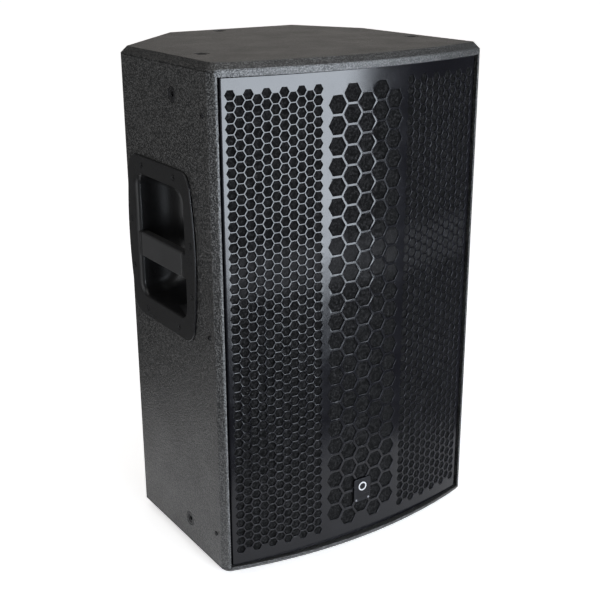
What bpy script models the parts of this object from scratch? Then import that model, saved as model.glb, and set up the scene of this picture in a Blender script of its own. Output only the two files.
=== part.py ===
"""Active two-way PA speaker cabinet: plywood box, bowed steel grille, 15-inch woofer, horn, amplifier.

Metres, +Z up, front towards -Y. Sizes are first given in a cabinet frame whose y = 0 is close to the
two front side corners; one empty then shifts the whole assembly so that its box is centred over the
origin. Every wall is its own board, mitred to its neighbours. What moves has its own axis: the woofer's
moving assembly slides along Y, the three level knobs turn about Y and the power switch rocks about X.
"""

import math

import bmesh
import bpy
from mathutils import Matrix, Vector

# Cabinet
WIDTH = 0.428
HEIGHT = 0.700
BODY_BOTTOM = 0.009  # the base feet lift the body
WALL = 0.015
SEAM_BOTTOM, SEAM_TOP = 0.0168, 0.6905  # where the side boards meet the bottom and top boards
TOP_CHAMFER, BOTTOM_CHAMFER = 0.0087, 0.0070
FRONT_RADIUS, FRONT_APEX = 0.715, -0.0365  # the front is bowed in plan
FRONT_STEPS = 14
BACK_Y = 0.383
RIGHT_REAR, BACK_RIGHT = (0.214, 0.262), (0.154, 0.383)  # plan corners of the rear
BACK_LEFT, LEFT_REAR = (-0.074, 0.383), (-0.214, 0.240)
FRONT_CHAMFER, REAR_CORNER_RADIUS = 0.0067, 0.004  # the chamfer goes this far along each wall
GAP = 0.0003  # between pieces that touch

# Front opening and baffle
RIM = 0.010  # width of the side rim round the grille
RIM_BOTTOM_Z, RIM_TOP_Z = 0.0190, 0.6835
FLOOR_Z = 0.0245  # upper face of the bottom board behind the grille
BAFFLE_Y, BAFFLE_THICKNESS = 0.0240, 0.018
REBATE_Y = BAFFLE_Y - GAP  # in front of this the side boards are only as thick as the rim
INNER_X = WIDTH / 2 - WALL
BRACE_Y, BRACE_THICKNESS, BRACE_WINDOW = 0.225, 0.012, (0.300, 0.560)

# Grille, badge and foam
GRILLE_RADIUS, GRILLE_APEX = 0.828, -0.0286
GRILLE_HALF_WIDTH = 0.2005
GRILLE_BOTTOM, GRILLE_TOP = 0.0205, 0.6820
GRILLE_SHEET, FOLD_RADIUS, FLANGE_BACK_Y = 0.0015, 0.003, 0.0225
FOLD_START = math.asin((GRILLE_HALF_WIDTH - FOLD_RADIUS) / (GRILLE_RADIUS - FOLD_RADIUS))
HEX_PITCH, HEX_ACROSS_FLATS = 0.02624, 0.0226
HEX_COLUMNS, HEX_ROWS = 5, 23  # every second column has one more row
HEX_BAND_HALF_WIDTH, HEX_MID_Z = 0.0615, 0.3521
FOAM_THICKNESS = 0.008
BADGE_SIZE, BADGE_Z = (0.029, 0.036, 0.002), 0.088
GRILLE_SCREW_Y, GRILLE_SCREW_Z = 0.016, (0.065, 0.352, 0.637)
SCREW_HOLE_RADIUS, SCREW_SHANK_RADIUS = 0.0024, 0.0019

# Handles
HANDLE_Y, HANDLE_Z = 0.1403, 0.4448
HANDLE_SIZE, HANDLE_BULGE, HANDLE_FLANGE = (0.178, 0.230), 0.0085, 0.003
POCKET_Y, POCKET_Z = 0.1363, 0.4475
POCKET_SIZE, POCKET_DEPTH, POCKET_WALL = (0.1365, 0.173), 0.058, 0.005
POCKET_CORNER, POCKET_ROUND = 0.018, 0.024
POCKET_LIP = 0.0125  # the slope at the rear edge of the opening
HANDLE_CUTOUT, CUTOUT_CORNER = (0.150, 0.186), 0.012
GRIP_FRONT_Y, GRIP_REAR_Y, GRIP_Z = 0.080, 0.201, 0.434
GRIP_HEIGHT, GRIP_THICKNESS, GRIP_OUTER = 0.035, 0.012, 0.0027  # the outer face is this far off the wall
TENON = (0.006, 0.024, 0.006)

# Rigging points, feet and pole socket
SIDE_RIGGING = {"upper": (0.095, 0.653), "lower": (0.093, 0.051)}  # y, z
TOP_RIGGING = {"front_left": (-0.170, 0.092), "front_right": (0.183, 0.112), "rear": (0.001, 0.350)}  # x, y
RIGGING_RADIUS, RIGGING_LENGTH = 0.010, 0.014
BASE_FEET = {
    "front_left": (-0.165, 0.035),
    "front_right": (0.165, 0.035),
    "rear_left": (-0.062, 0.340),
    "rear_right": (0.135, 0.340),
}
BASE_FOOT_RADIUS = 0.014
MONITOR_FOOT_INSET, MONITOR_FOOT_Z = 0.037, {"lower": 0.074, "upper": 0.633}
MONITOR_FOOT_RADIUS, MONITOR_FOOT_HEIGHT = 0.012, 0.0095
POLE_Y, POLE_BORE, POLE_TUBE, POLE_FLANGE, POLE_TOP_Z = 0.165, 0.0178, 0.021, 0.050, 0.100

# Woofer, horn and ports, on the baffle
WOOFER_Z, WOOFER_HOLE = 0.226, 0.1765
CONE_NECK, CONE_EDGE = (0.0410, -0.073), (0.1540, -0.0005)  # radius, forward
HORN_Z, HORN_MOUTH, HORN_FLANGE = 0.550, (0.206, 0.166), (0.236, 0.196)
HORN_CUTOUT, HORN_DEPTH, THROAT_RADIUS, HORN_WALL = (0.216, 0.176), 0.115, 0.0125, 0.003
PORT_X, PORT_Z, PORT_RADIUS, PORT_WALL, PORT_LENGTH = 0.158, 0.605, 0.034, 0.003, 0.120

# Amplifier, on the rear board
AMP_X, AMP_Z = 0.040, 0.335
AMP_SIZE, AMP_REBATE, AMP_CUTOUT = (0.176, 0.320), (0.180, 0.324), (0.156, 0.300)
AMP_SHEET, AMP_FACE_Y = 0.0025, 0.3798
HEATSINK_SIZE, HEATSINK_Z, HEATSINK_BASE, HEATSINK_BACK_Y = (0.132, 0.110), 0.425, 0.004, 0.394
FIN_COUNT, FIN_THICKNESS = 11, 0.003
BOARD_SIZE, BOARD_Y, BOARD_THICKNESS = (0.136, 0.250), 0.345, 0.0016
TOROID, TOROID_Z = (0.036, 0.031), -0.070  # radius and length, then height on the board
CAPACITOR, CAPACITOR_Z, CAPACITOR_PITCH = (0.012, 0.034), 0.050, 0.034
KNOB_OFFSETS = {"input_1_level": 0.048, "input_2_level": 0.0, "master_level": -0.048}
KNOB_Z, KNOB_RADIUS, KNOB_LENGTH = 0.335, 0.0085, 0.0122
SOCKET_OFFSETS, SOCKET_Z = {"input_1_socket": 0.035, "input_2_socket": -0.035}, 0.282
SOCKET_BODY, SOCKET_BORE = 0.0112, 0.0095
INLET_OFFSET, SWITCH_OFFSET, MAINS_Z = 0.035, -0.040, 0.215
INLET_BODY, INLET_CAVITY = (0.0275, 0.0195, 0.022), (0.0245, 0.0165, 0.016)
SWITCH_HOLE, SWITCH_PIVOT_Y, SWITCH_REST = (0.0132, 0.0192), 0.3790, math.radians(-8)
CLEARANCE = 0.0006  # between a part and the hole in the amplifier panel that it passes through

DEPTH_MID = (FRONT_APEX + HEATSINK_BACK_Y) / 2


# ---------------------------------------------------------------- scene, materials and placing


def clear_scene():
    for obj in list(bpy.data.objects):
        bpy.data.objects.remove(obj, do_unlink=True)


def new_collection(name, hidden=False):
    collection = bpy.data.collections.new(name)
    collection.hide_render = hidden
    bpy.context.scene.collection.children.link(collection)
    return collection


def new_material(name, colour, roughness, metallic=0.0):
    material = bpy.data.materials.new(name)
    material.use_nodes = True
    shader = material.node_tree.nodes["Principled BSDF"]
    shader.inputs["Base Color"].default_value = (*colour, 1.0)
    shader.inputs["Roughness"].default_value = roughness
    shader.inputs["Metallic"].default_value = metallic
    return material


clear_scene()
PARTS = new_collection("pa_speaker_cabinet")
CUTTERS = new_collection("cutters", hidden=True)

PAINT = new_material("textured_paint", (0.035, 0.035, 0.038), 0.62)
BAFFLE_PAINT = new_material("baffle_paint", (0.020, 0.020, 0.020), 0.80)
GRILLE_STEEL = new_material("grille_steel", (0.045, 0.045, 0.050), 0.38, 0.3)
FOAM = new_material("acoustic_foam", (0.030, 0.030, 0.030), 0.95)
BADGE_METAL = new_material("badge_metal", (0.050, 0.050, 0.060), 0.35, 0.5)
SCREW_STEEL = new_material("black_screw", (0.040, 0.040, 0.040), 0.40, 0.8)
HANDLE_PLASTIC = new_material("handle_plastic", (0.050, 0.050, 0.052), 0.45)
GRIP_PLASTIC = new_material("grip_plastic", (0.045, 0.045, 0.047), 0.50)
RUBBER = new_material("rubber", (0.020, 0.020, 0.020), 0.85)
SOCKET_PLASTIC = new_material("pole_socket_plastic", (0.030, 0.030, 0.030), 0.50)
RIGGING_STEEL = new_material("rigging_steel", (0.060, 0.060, 0.065), 0.40, 0.7)
BASKET_METAL = new_material("basket_metal", (0.050, 0.050, 0.055), 0.50, 0.5)
MAGNET = new_material("magnet", (0.070, 0.070, 0.075), 0.60, 0.4)
PAPER = new_material("cone_paper", (0.030, 0.030, 0.030), 0.80)
COPPER = new_material("coil_copper", (0.600, 0.300, 0.150), 0.40, 0.9)
SURROUND_CLOTH = new_material("surround_cloth", (0.040, 0.040, 0.040), 0.85)
SPIDER_CLOTH = new_material("spider_cloth", (0.600, 0.450, 0.200), 0.90)
HORN_PLASTIC = new_material("horn_plastic", (0.025, 0.025, 0.025), 0.45)
DRIVER_METAL = new_material("driver_metal", (0.250, 0.250, 0.260), 0.40, 0.8)
AMP_METAL = new_material("amp_panel_metal", (0.035, 0.035, 0.035), 0.45, 0.4)
HEATSINK_METAL = new_material("heatsink_metal", (0.040, 0.040, 0.040), 0.40, 0.7)
BOARD = new_material("circuit_board", (0.050, 0.200, 0.080), 0.60)
KNOB_PLASTIC = new_material("knob_plastic", (0.040, 0.040, 0.040), 0.50)
SWITCH_PLASTIC = new_material("switch_plastic", (0.030, 0.030, 0.030), 0.35)
CONNECTOR_PLASTIC = new_material("connector_plastic", (0.030, 0.030, 0.030), 0.50)


def new_empty(name, location, rotation=(0, 0, 0), parent=None):
    """A reference frame with no shape of its own."""
    point = bpy.data.objects.new(name, None)
    PARTS.objects.link(point)
    point.parent = parent
    point.location = location
    point.rotation_euler = rotation
    return point


def place(obj, material, parent, location=(0, 0, 0), rotation=(0, 0, 0)):
    """Makes an object one of the cabinet's parts."""
    obj.data.materials.append(material)
    obj.parent = parent
    obj.location = location
    obj.rotation_euler = rotation
    return obj


def combine(obj, tool, operation, parent=None, location=(0, 0, 0), rotation=(0, 0, 0)):
    """Joins a tool to an object or cuts it away. The tool itself is hidden."""
    PARTS.objects.unlink(tool)
    CUTTERS.objects.link(tool)
    tool.parent = parent or obj
    tool.location = location
    tool.rotation_euler = rotation
    tool.hide_render = True
    tool.display_type = "WIRE"
    modifier = obj.modifiers.new(tool.name, "BOOLEAN")
    modifier.object = tool
    modifier.operation = operation
    modifier.solver = "EXACT"


def cut(obj, tool, *where):
    combine(obj, tool, "DIFFERENCE", *where)


def join(obj, tool, *where):
    combine(obj, tool, "UNION", *where)


def facing(x, y):
    """The rotation that turns a plate's own +Z to the horizontal direction (x, y), with its +Y up."""
    return (math.pi / 2, 0, math.atan2(x, -y))


# ---------------------------------------------------------------- outlines


def circle(radius, centre=(0, 0), steps=18):
    angles = [2 * math.pi * step / steps for step in range(steps)]
    return [(centre[0] + radius * math.cos(a), centre[1] + radius * math.sin(a)) for a in angles]


def fillet(before, corner, after, radius, steps=3):
    """The arc that rounds a corner of an outline."""
    way_in = (Vector(corner) - Vector(before)).normalized()
    way_out = (Vector(after) - Vector(corner)).normalized()
    turn = math.atan2(way_in.cross(way_out), way_in.dot(way_out))
    start = Vector(corner) - way_in * radius * math.tan(abs(turn) / 2)
    to_start = Vector((way_in.y, -way_in.x)) * math.copysign(radius, turn)
    centre = start - to_start
    return [tuple(centre + Matrix.Rotation(turn * step / steps, 2) @ to_start) for step in range(steps + 1)]


def rounded(corners, radii, steps=3):
    """A closed outline whose corners have their own radii. A radius of 0 leaves the corner sharp."""
    outline = []
    for index, (corner, radius) in enumerate(zip(corners, radii)):
        if radius == 0:
            outline.append(corner)
        else:
            after = corners[(index + 1) % len(corners)]
            outline += fillet(corners[index - 1], corner, after, radius, steps)
    return outline


def chamfer(before, corner, after, length):
    """The two ends of a straight cut across a corner of an outline."""
    before, corner, after = Vector(before), Vector(corner), Vector(after)
    return [tuple(corner + (end - corner).normalized() * length) for end in (before, after)]


def rectangle(size, radius=0.0, centre=(0, 0), steps=3):
    half_x, half_y = size[0] / 2, size[1] / 2
    signs = ((-1, -1), (1, -1), (1, 1), (-1, 1))
    corners = [(centre[0] + x * half_x, centre[1] + y * half_y) for x, y in signs]
    return rounded(corners, [radius] * 4, steps)


def bulged_rectangle(size, radius, bulge=0.0, centre=(0, 0)):
    """A rounded rectangle whose left and right sides are bowed out, with three points along each."""
    points = rectangle(size, radius, centre)
    quarter = len(points) // 4
    left, right = centre[0] - size[0] / 2, centre[0] + size[0] / 2
    rise = [(step * size[1] / 4, bulge * (1 - step * step / 4)) for step in (-1, 0, 1)]
    up_right = [(right + out, centre[1] + up) for up, out in rise]
    down_left = [(left - out, centre[1] - up) for up, out in rise]
    return points[: 2 * quarter] + up_right + points[2 * quarter :] + down_left


def superellipse(half_x, half_y, power, steps=28):
    """A closed curve that goes from an ellipse, at power 2, towards a rectangle."""
    points = []
    for step in range(steps):
        angle = 2 * math.pi * (step + 0.5) / steps
        x, y = math.cos(angle), math.sin(angle)
        across = math.copysign(half_x * abs(x) ** (2 / power), x)
        points.append((across, math.copysign(half_y * abs(y) ** (2 / power), y)))
    return points


def at_height(outline, z):
    return [(x, y, z) for x, y in outline]


def front_y(x, inset=0.0):
    """The bowed front in plan, moved back by inset."""
    return FRONT_APEX + FRONT_RADIUS - math.sqrt((FRONT_RADIUS - inset) ** 2 - x**2)


def front_arc(half_width, inset=0.0):
    stations = [half_width * (2 * step / FRONT_STEPS - 1) for step in range(FRONT_STEPS + 1)]
    return [(x, front_y(x, inset)) for x in stations]


def rear_corners(inset=0.0):
    """The four plan corners of the rear from right to left, after every wall has moved in by inset."""
    chain = [(WIDTH / 2, 0), RIGHT_REAR, BACK_RIGHT, BACK_LEFT, LEFT_REAR, (-WIDTH / 2, 0)]
    corners = []
    for before, corner, after in zip(chain, chain[1:], chain[2:]):
        first = (Vector(corner) - Vector(before)).normalized()
        second = (Vector(after) - Vector(corner)).normalized()
        inward = Vector((-first.y - second.y, first.x + second.x))
        corners.append(tuple(Vector(corner) + inward * inset / (1 + first.dot(second))))
    return corners


def body_outline(inset=0.0):
    """The cabinet in plan. Every inset gives the same number of points."""
    arc, rear = front_arc(WIDTH / 2 - inset, inset), rear_corners(inset)
    turn = math.pi / 2 - math.asin(WIDTH / 2 / FRONT_RADIUS)
    length = FRONT_CHAMFER - inset * math.tan(turn / 4) / math.cos(turn / 2)
    left = chamfer(rear[-1], arc[0], arc[1], length)
    right = chamfer(arc[-2], arc[-1], rear[0], length)
    front = left + arc[1:-1] + right
    return rounded(front + rear, [0] * len(front) + [max(REAR_CORNER_RADIUS - inset, 0.001)] * len(rear))


def mitred_end(far, corner, beyond):
    """The end of a wall that runs from far to corner and meets there the wall that runs on to beyond."""
    far, corner, beyond = Vector(far), Vector(corner), Vector(beyond)
    along, onward = (corner - far).normalized(), (beyond - corner).normalized()
    inward = (onward - along).normalized()
    half_turn = along.angle(onward) / 2
    rounding_start = corner - along * REAR_CORNER_RADIUS * math.tan(half_turn)
    rounding_middle = corner + inward * REAR_CORNER_RADIUS * (1 / math.cos(half_turn) - 1)
    inner = corner + inward * WALL / math.cos(half_turn)
    shift = along * 0.7 * GAP
    return [tuple(rounding_start), tuple(rounding_middle - shift), tuple(inner - shift)]


def strip(path, thickness):
    """The outline of a sheet of even thickness whose middle follows a path."""
    path = [Vector(point) for point in path]
    one_side, other_side = [], []
    for index, point in enumerate(path):
        neighbours = zip(path[max(index - 1, 0) :], path[max(index, 1) : index + 2])
        ways = [(b - a).normalized() for a, b in neighbours]
        way = sum(ways, Vector((0, 0))).normalized()
        side = Vector((-way.y, way.x)) * thickness / 2 / way.dot(ways[0])
        one_side.append(tuple(point + side))
        other_side.append(tuple(point - side))
    return one_side + other_side[::-1]


# ---------------------------------------------------------------- solids


def mesh_object(name, shape):
    mesh = bpy.data.meshes.new(name)
    shape.to_mesh(mesh)
    shape.free()
    obj = bpy.data.objects.new(name, mesh)
    PARTS.objects.link(obj)
    return obj


def filled_curve(name, loops, thickness):
    """The mesh of a filled flat curve, centred on z = 0. The loops after the first are holes.
    A thickness of 0 gives an open sheet."""
    curve = bpy.data.curves.new(name, "CURVE")
    curve.dimensions = "2D"
    curve.fill_mode = "BOTH" if thickness > 0 else "FRONT"
    curve.extrude = thickness / 2
    for loop in loops:
        spline = curve.splines.new("POLY")
        spline.points.add(len(loop) - 1)
        for point, (x, y) in zip(spline.points, loop):
            point.co = (x, y, 0, 1)
        spline.use_cyclic_u = True
    drawn = bpy.data.objects.new(name, curve)
    PARTS.objects.link(drawn)
    graph = bpy.context.evaluated_depsgraph_get()
    mesh = bpy.data.meshes.new_from_object(drawn.evaluated_get(graph))
    bpy.data.objects.remove(drawn)
    shape = bmesh.new()
    shape.from_mesh(mesh)
    bpy.data.meshes.remove(mesh)
    bmesh.ops.remove_doubles(shape, verts=shape.verts, dist=1e-6)
    bmesh.ops.recalc_face_normals(shape, faces=shape.faces)
    return shape


def plate(name, loops, thickness):
    return mesh_object(name, filled_curve(name, loops, thickness))


def box(name, size):
    shape = bmesh.new()
    bmesh.ops.create_cube(shape, size=1)
    bmesh.ops.scale(shape, vec=size, verts=shape.verts)
    return mesh_object(name, shape)


def cylinder(name, radius, length, segments=18):
    shape = bmesh.new()
    bmesh.ops.create_cone(
        shape, cap_ends=True, segments=segments, radius1=radius, radius2=radius, depth=length
    )
    return mesh_object(name, shape)


def turned(name, profile, segments=24):
    """A profile of (radius, height) points spun about Z, left open between two points at radius 0."""
    count = len(profile)
    area = sum(profile[i - 1][0] * profile[i][1] - profile[i][0] * profile[i - 1][1] for i in range(count))
    if area > 0:
        profile = profile[::-1]
    pairs = [(i, (i + 1) % count) for i in range(count)]
    edges = [pair for pair in pairs if any(profile[i][0] > 0 for i in pair)]
    mesh = bpy.data.meshes.new(name)
    mesh.from_pydata([(radius, 0, height) for radius, height in profile], edges, [])
    obj = bpy.data.objects.new(name, mesh)
    PARTS.objects.link(obj)
    screw = obj.modifiers.new("turn", "SCREW")
    screw.steps = segments
    screw.render_steps = segments
    screw.use_merge_vertices = True
    screw.merge_threshold = 0.00001
    return obj


def loft(name, rings, closed=False):
    """A skin over rings with equal numbers of points. Closed joins the last ring to the first."""
    shape = bmesh.new()
    rows = [[shape.verts.new(point) for point in ring] for ring in rings]
    pairs = list(zip(rows, rows[1:]))
    if closed:
        pairs.append((rows[-1], rows[0]))
    else:
        shape.faces.new(rows[0])
        shape.faces.new(rows[-1])
    for first, second in pairs:
        for a, b, c, d in zip(first, first[1:] + first[:1], second[1:] + second[:1], second):
            shape.faces.new((a, b, c, d))
    bmesh.ops.recalc_face_normals(shape, faces=shape.faces)
    return mesh_object(name, shape)


def upright_board(name, outline, low, high, cabinet, material):
    """A plan outline carried from z = low to z = high."""
    board = plate(name, [outline], high - low)
    return place(board, material, cabinet, (0, 0, (low + high) / 2))


def bevel(obj, width, segments=1):
    modifier = obj.modifiers.new("bevel", "BEVEL")
    modifier.width = width
    modifier.segments = segments
    modifier.limit_method = "ANGLE"
    modifier.angle_limit = math.radians(40)


# ---------------------------------------------------------------- cabinet boards


def plug_outline(front_inset):
    """The inside of the box in plan, with the narrow tongue that fills the rim between the side boards."""
    tongue = front_arc(WIDTH / 2 - RIM - GAP, front_inset)
    shoulders_x, waist_x, shoulder_y = tongue[-1][0], INNER_X - GAP, REBATE_Y - GAP
    right = [(shoulders_x, shoulder_y), (waist_x, shoulder_y)]
    left = [(-waist_x, shoulder_y), (-shoulders_x, shoulder_y)]
    return tongue + right + rear_corners(WALL + GAP) + left


def add_top_panel(cabinet):
    edge_z = HEIGHT - TOP_CHAMFER
    rings = [
        at_height(body_outline(), SEAM_TOP),
        at_height(body_outline(), edge_z),
        at_height(body_outline(TOP_CHAMFER), HEIGHT),
    ]
    panel = place(loft("top_panel", rings), PAINT, cabinet)
    plug_top_z = SEAM_TOP + 0.002
    plug = plate("top_plug", [plug_outline(0.0004)], plug_top_z - RIM_TOP_Z)
    join(panel, plug, cabinet, (0, 0, (plug_top_z + RIM_TOP_Z) / 2))
    for place_name, (x, y) in TOP_RIGGING.items():
        hole = cylinder(f"top_hole_{place_name}", RIGGING_RADIUS + GAP, 0.05)
        cut(panel, hole, cabinet, (x, y, HEIGHT))


def add_bottom_panel(cabinet):
    rings = [
        at_height(body_outline(BOTTOM_CHAMFER), BODY_BOTTOM),
        at_height(body_outline(), BODY_BOTTOM + BOTTOM_CHAMFER),
        at_height(body_outline(), SEAM_BOTTOM),
    ]
    panel = place(loft("bottom_panel", rings), PAINT, cabinet)
    plug_low_z = SEAM_BOTTOM - 0.002
    lip = plate("bottom_lip", [plug_outline(0.0004)], RIM_BOTTOM_Z - plug_low_z)
    join(panel, lip, cabinet, (0, 0, (RIM_BOTTOM_Z + plug_low_z) / 2))
    waist_x = INNER_X - GAP - 0.0005
    floor_outline = [(waist_x, BAFFLE_Y), *rear_corners(WALL + GAP + 0.0005), (-waist_x, BAFFLE_Y)]
    floor = plate("bottom_floor", [floor_outline], FLOOR_Z - plug_low_z)
    join(panel, floor, cabinet, (0, 0, (FLOOR_Z + plug_low_z) / 2))
    cut(panel, cylinder("pole_hole", POLE_TUBE + 3 * GAP, 0.05, 20), cabinet, (0, POLE_Y, SEAM_BOTTOM))


def add_side_panel(cabinet, name, side, rear_corner, beyond):
    """side is 1 for the right wall and -1 for the left one."""
    outer_x, lip_x, inner_x = side * WIDTH / 2, side * (WIDTH / 2 - RIM), side * INNER_X
    rim = (lip_x, front_y(lip_x))
    corner = (outer_x, front_y(outer_x))
    outline = [
        rim,
        *chamfer(rim, corner, rear_corner, FRONT_CHAMFER),
        *mitred_end(corner, rear_corner, beyond),
        (inner_x, REBATE_Y),
        (lip_x, REBATE_Y),
    ]
    panel = upright_board(name, outline, SEAM_BOTTOM + GAP, SEAM_TOP - GAP, cabinet, PAINT)
    opening = plate(f"{name}_cutout", [rectangle(HANDLE_CUTOUT, CUTOUT_CORNER)], 0.05)
    cut(panel, opening, cabinet, (outer_x, POCKET_Y, POCKET_Z), facing(side, 0))
    for place_name, (y, z) in SIDE_RIGGING.items():
        hole = cylinder(f"{name}_{place_name}_hole", RIGGING_RADIUS + GAP, 0.05)
        cut(panel, hole, cabinet, (outer_x, y, z), facing(side, 0))
    for z in GRILLE_SCREW_Z:
        hole = cylinder(f"{name}_screw_hole", SCREW_HOLE_RADIUS, 0.05, 12)
        cut(panel, hole, cabinet, (outer_x, GRILLE_SCREW_Y, z), facing(side, 0))


def add_rear_boards(cabinet):
    chain = [(WIDTH / 2, 0), RIGHT_REAR, BACK_RIGHT, BACK_LEFT, LEFT_REAR, (-WIDTH / 2, 0)]
    for index, name in enumerate(("rear_right_panel", "rear_panel", "rear_left_panel")):
        before, start, end, after = chain[index : index + 4]
        outline = mitred_end(start, end, after) + mitred_end(end, start, before)[::-1]
        board = upright_board(name, outline, SEAM_BOTTOM + GAP, SEAM_TOP - GAP, cabinet, PAINT)
        if name == "rear_panel":
            window = plate("amp_window", [rectangle(AMP_CUTOUT, 0.004)], 0.05)
            cut(board, window, cabinet, (AMP_X, BACK_Y, AMP_Z), facing(0, 1))
            rebate = plate("amp_rebate", [rectangle(AMP_REBATE, 0.006)], 0.012)
            cut(board, rebate, cabinet, (AMP_X, BACK_Y, AMP_Z), facing(0, 1))


def add_baffle(cabinet):
    low, high = FLOOR_Z + GAP, RIM_TOP_Z - GAP
    mid_z = (low + high) / 2
    loops = [
        rectangle((2 * (INNER_X - GAP), high - low)),
        circle(WOOFER_HOLE, (0, WOOFER_Z - mid_z), 36),
        rectangle(HORN_CUTOUT, 0.020, (0, HORN_Z - mid_z)),
        circle(PORT_RADIUS + 3 * GAP, (-PORT_X, PORT_Z - mid_z), 20),
        circle(PORT_RADIUS + 3 * GAP, (PORT_X, PORT_Z - mid_z), 20),
    ]
    baffle = plate("front_baffle", loops, BAFFLE_THICKNESS)
    place(baffle, BAFFLE_PAINT, cabinet, (0, BAFFLE_Y + BAFFLE_THICKNESS / 2, mid_z), facing(0, -1))


def add_window_brace(cabinet):
    low, high = FLOOR_Z + GAP, RIM_TOP_Z - GAP
    loops = [rectangle((2 * (INNER_X - GAP), high - low)), rectangle(BRACE_WINDOW, 0.040)]
    brace = plate("window_brace", loops, BRACE_THICKNESS)
    place(brace, BAFFLE_PAINT, cabinet, (0, BRACE_Y, (low + high) / 2), facing(0, -1))


# ---------------------------------------------------------------- grille, foam, badge and grille screws


def skin_point(reach, z):
    """The grille's outer skin at a distance round the sheet: bowed face, tight fold, flat flange."""
    distance = abs(reach)
    on_face = min(distance, GRILLE_RADIUS * FOLD_START)
    in_fold = min(distance - on_face, FOLD_RADIUS * (math.pi / 2 - FOLD_START))
    slope = on_face / GRILLE_RADIUS
    folded = slope + in_fold / FOLD_RADIUS
    x = GRILLE_RADIUS * math.sin(slope) + FOLD_RADIUS * (math.sin(folded) - math.sin(slope))
    bowed_y = GRILLE_APEX + GRILLE_RADIUS * (1 - math.cos(slope))
    folded_y = FOLD_RADIUS * (math.cos(slope) - math.cos(folded))
    return (math.copysign(x, reach), bowed_y + folded_y + distance - on_face - in_fold, z)


def hexagon(centre):
    radius = HEX_ACROSS_FLATS / math.sqrt(3)
    return circle(radius, centre, 6)


def hexagon_loops():
    """The large holes of the middle band, in columns that are staggered by half a pitch."""
    loops = []
    for column in range(HEX_COLUMNS):
        rows = HEX_ROWS + column % 2
        across = (column - (HEX_COLUMNS - 1) / 2) * HEX_PITCH * math.sqrt(3) / 2
        loops += [hexagon((across, HEX_MID_Z + (row - (rows - 1) / 2) * HEX_PITCH)) for row in range(rows)]
    return loops


def add_grille(cabinet):
    face_reach = GRILLE_RADIUS * FOLD_START
    fold_reach = face_reach + FOLD_RADIUS * (math.pi / 2 - FOLD_START)
    flange_reach = fold_reach + FLANGE_BACK_Y - skin_point(fold_reach, 0)[1]
    face_steps, fold_steps = 7, 3
    stations = [
        HEX_BAND_HALF_WIDTH + (face_reach - HEX_BAND_HALF_WIDTH) * step / face_steps
        for step in range(1, face_steps + 1)
    ]
    fold_step = (fold_reach - face_reach) / fold_steps
    stations += [face_reach + fold_step * step for step in range(1, fold_steps + 1)]
    stations.append(flange_reach)

    edge = [HEX_BAND_HALF_WIDTH * (step / 3 - 1) for step in range(7)]
    band = [(x, GRILLE_BOTTOM) for x in edge] + [(x, GRILLE_TOP) for x in edge[::-1]]
    sheet = filled_curve("front_grille", [band, *hexagon_loops()], 0)
    bmesh.ops.beautify_fill(sheet, faces=sheet.faces, edges=sheet.edges)
    for side in (-1, 1):
        border = [
            e for e in sheet.edges if all(abs(v.co.x - side * HEX_BAND_HALF_WIDTH) < 1e-6 for v in e.verts)
        ]
        for station in stations:
            grown = bmesh.ops.extrude_edge_only(sheet, edges=border)["geom"]
            new_vertices = {part for part in grown if isinstance(part, bmesh.types.BMVert)}
            for vertex in new_vertices:
                vertex.co.x = side * station
            border = [e for e in sheet.edges if new_vertices.issuperset(e.verts)]
    for vertex in sheet.verts:
        vertex.co = skin_point(vertex.co.x, vertex.co.y)
    bmesh.ops.recalc_face_normals(sheet, faces=sheet.faces)
    if sum(face.normal.y * face.calc_area() for face in sheet.faces) > 0:
        bmesh.ops.reverse_faces(sheet, faces=sheet.faces)

    grille = place(mesh_object("front_grille", sheet), GRILLE_STEEL, cabinet)
    solidify = grille.modifiers.new("sheet", "SOLIDIFY")
    solidify.thickness = GRILLE_SHEET
    solidify.offset = -1
    solidify.use_even_offset = True
    for z in GRILLE_SCREW_Z:
        hole = cylinder("grille_screw_hole", SCREW_HOLE_RADIUS, WIDTH, 12)
        cut(grille, hole, cabinet, (0, GRILLE_SCREW_Y, z), facing(1, 0))


def add_foam(cabinet):
    """A sheet that follows the back of the grille."""
    half_width = GRILLE_HALF_WIDTH - GRILLE_SHEET - 0.002
    steps = 18
    outline = []
    for radius, order in ((GRILLE_RADIUS - GRILLE_SHEET - GAP, 1), (GRILLE_RADIUS - FOAM_THICKNESS, -1)):
        stations = [half_width * (2 * step / steps - 1) * order for step in range(steps + 1)]
        outline += [(x, GRILLE_APEX + GRILLE_RADIUS - math.sqrt(radius**2 - x**2)) for x in stations]
    upright_board("grille_foam", outline, GRILLE_BOTTOM + 0.001, GRILLE_TOP - 0.001, cabinet, FOAM)


def add_badge(cabinet):
    width, height, thickness = BADGE_SIZE
    badge = plate("badge", [rectangle((width, height), 0.003)], thickness)
    place(badge, BADGE_METAL, cabinet, (0, GRILLE_APEX - GAP - thickness / 2, BADGE_Z), facing(0, -1))


def add_grille_screws(cabinet):
    """Each goes through the rim of a side board into the flange of the grille."""
    head_radius, head_height, length = 0.0035, 0.0011, 0.017
    profile = [
        (0, GAP + head_height),
        (0.0022, GAP + head_height),
        (head_radius, GAP + 0.0004),
        (head_radius, GAP),
        (SCREW_SHANK_RADIUS, GAP),
        (SCREW_SHANK_RADIUS, -length),
        (0, -length),
    ]
    for side_name, side in (("left", -1), ("right", 1)):
        for level, z in zip(("lower", "middle", "upper"), GRILLE_SCREW_Z):
            screw = turned(f"grille_screw_{side_name}_{level}", profile, 10)
            place(screw, SCREW_STEEL, cabinet, (side * WIDTH / 2, GRILLE_SCREW_Y, z), facing(side, 0))


# ---------------------------------------------------------------- handles


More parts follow.
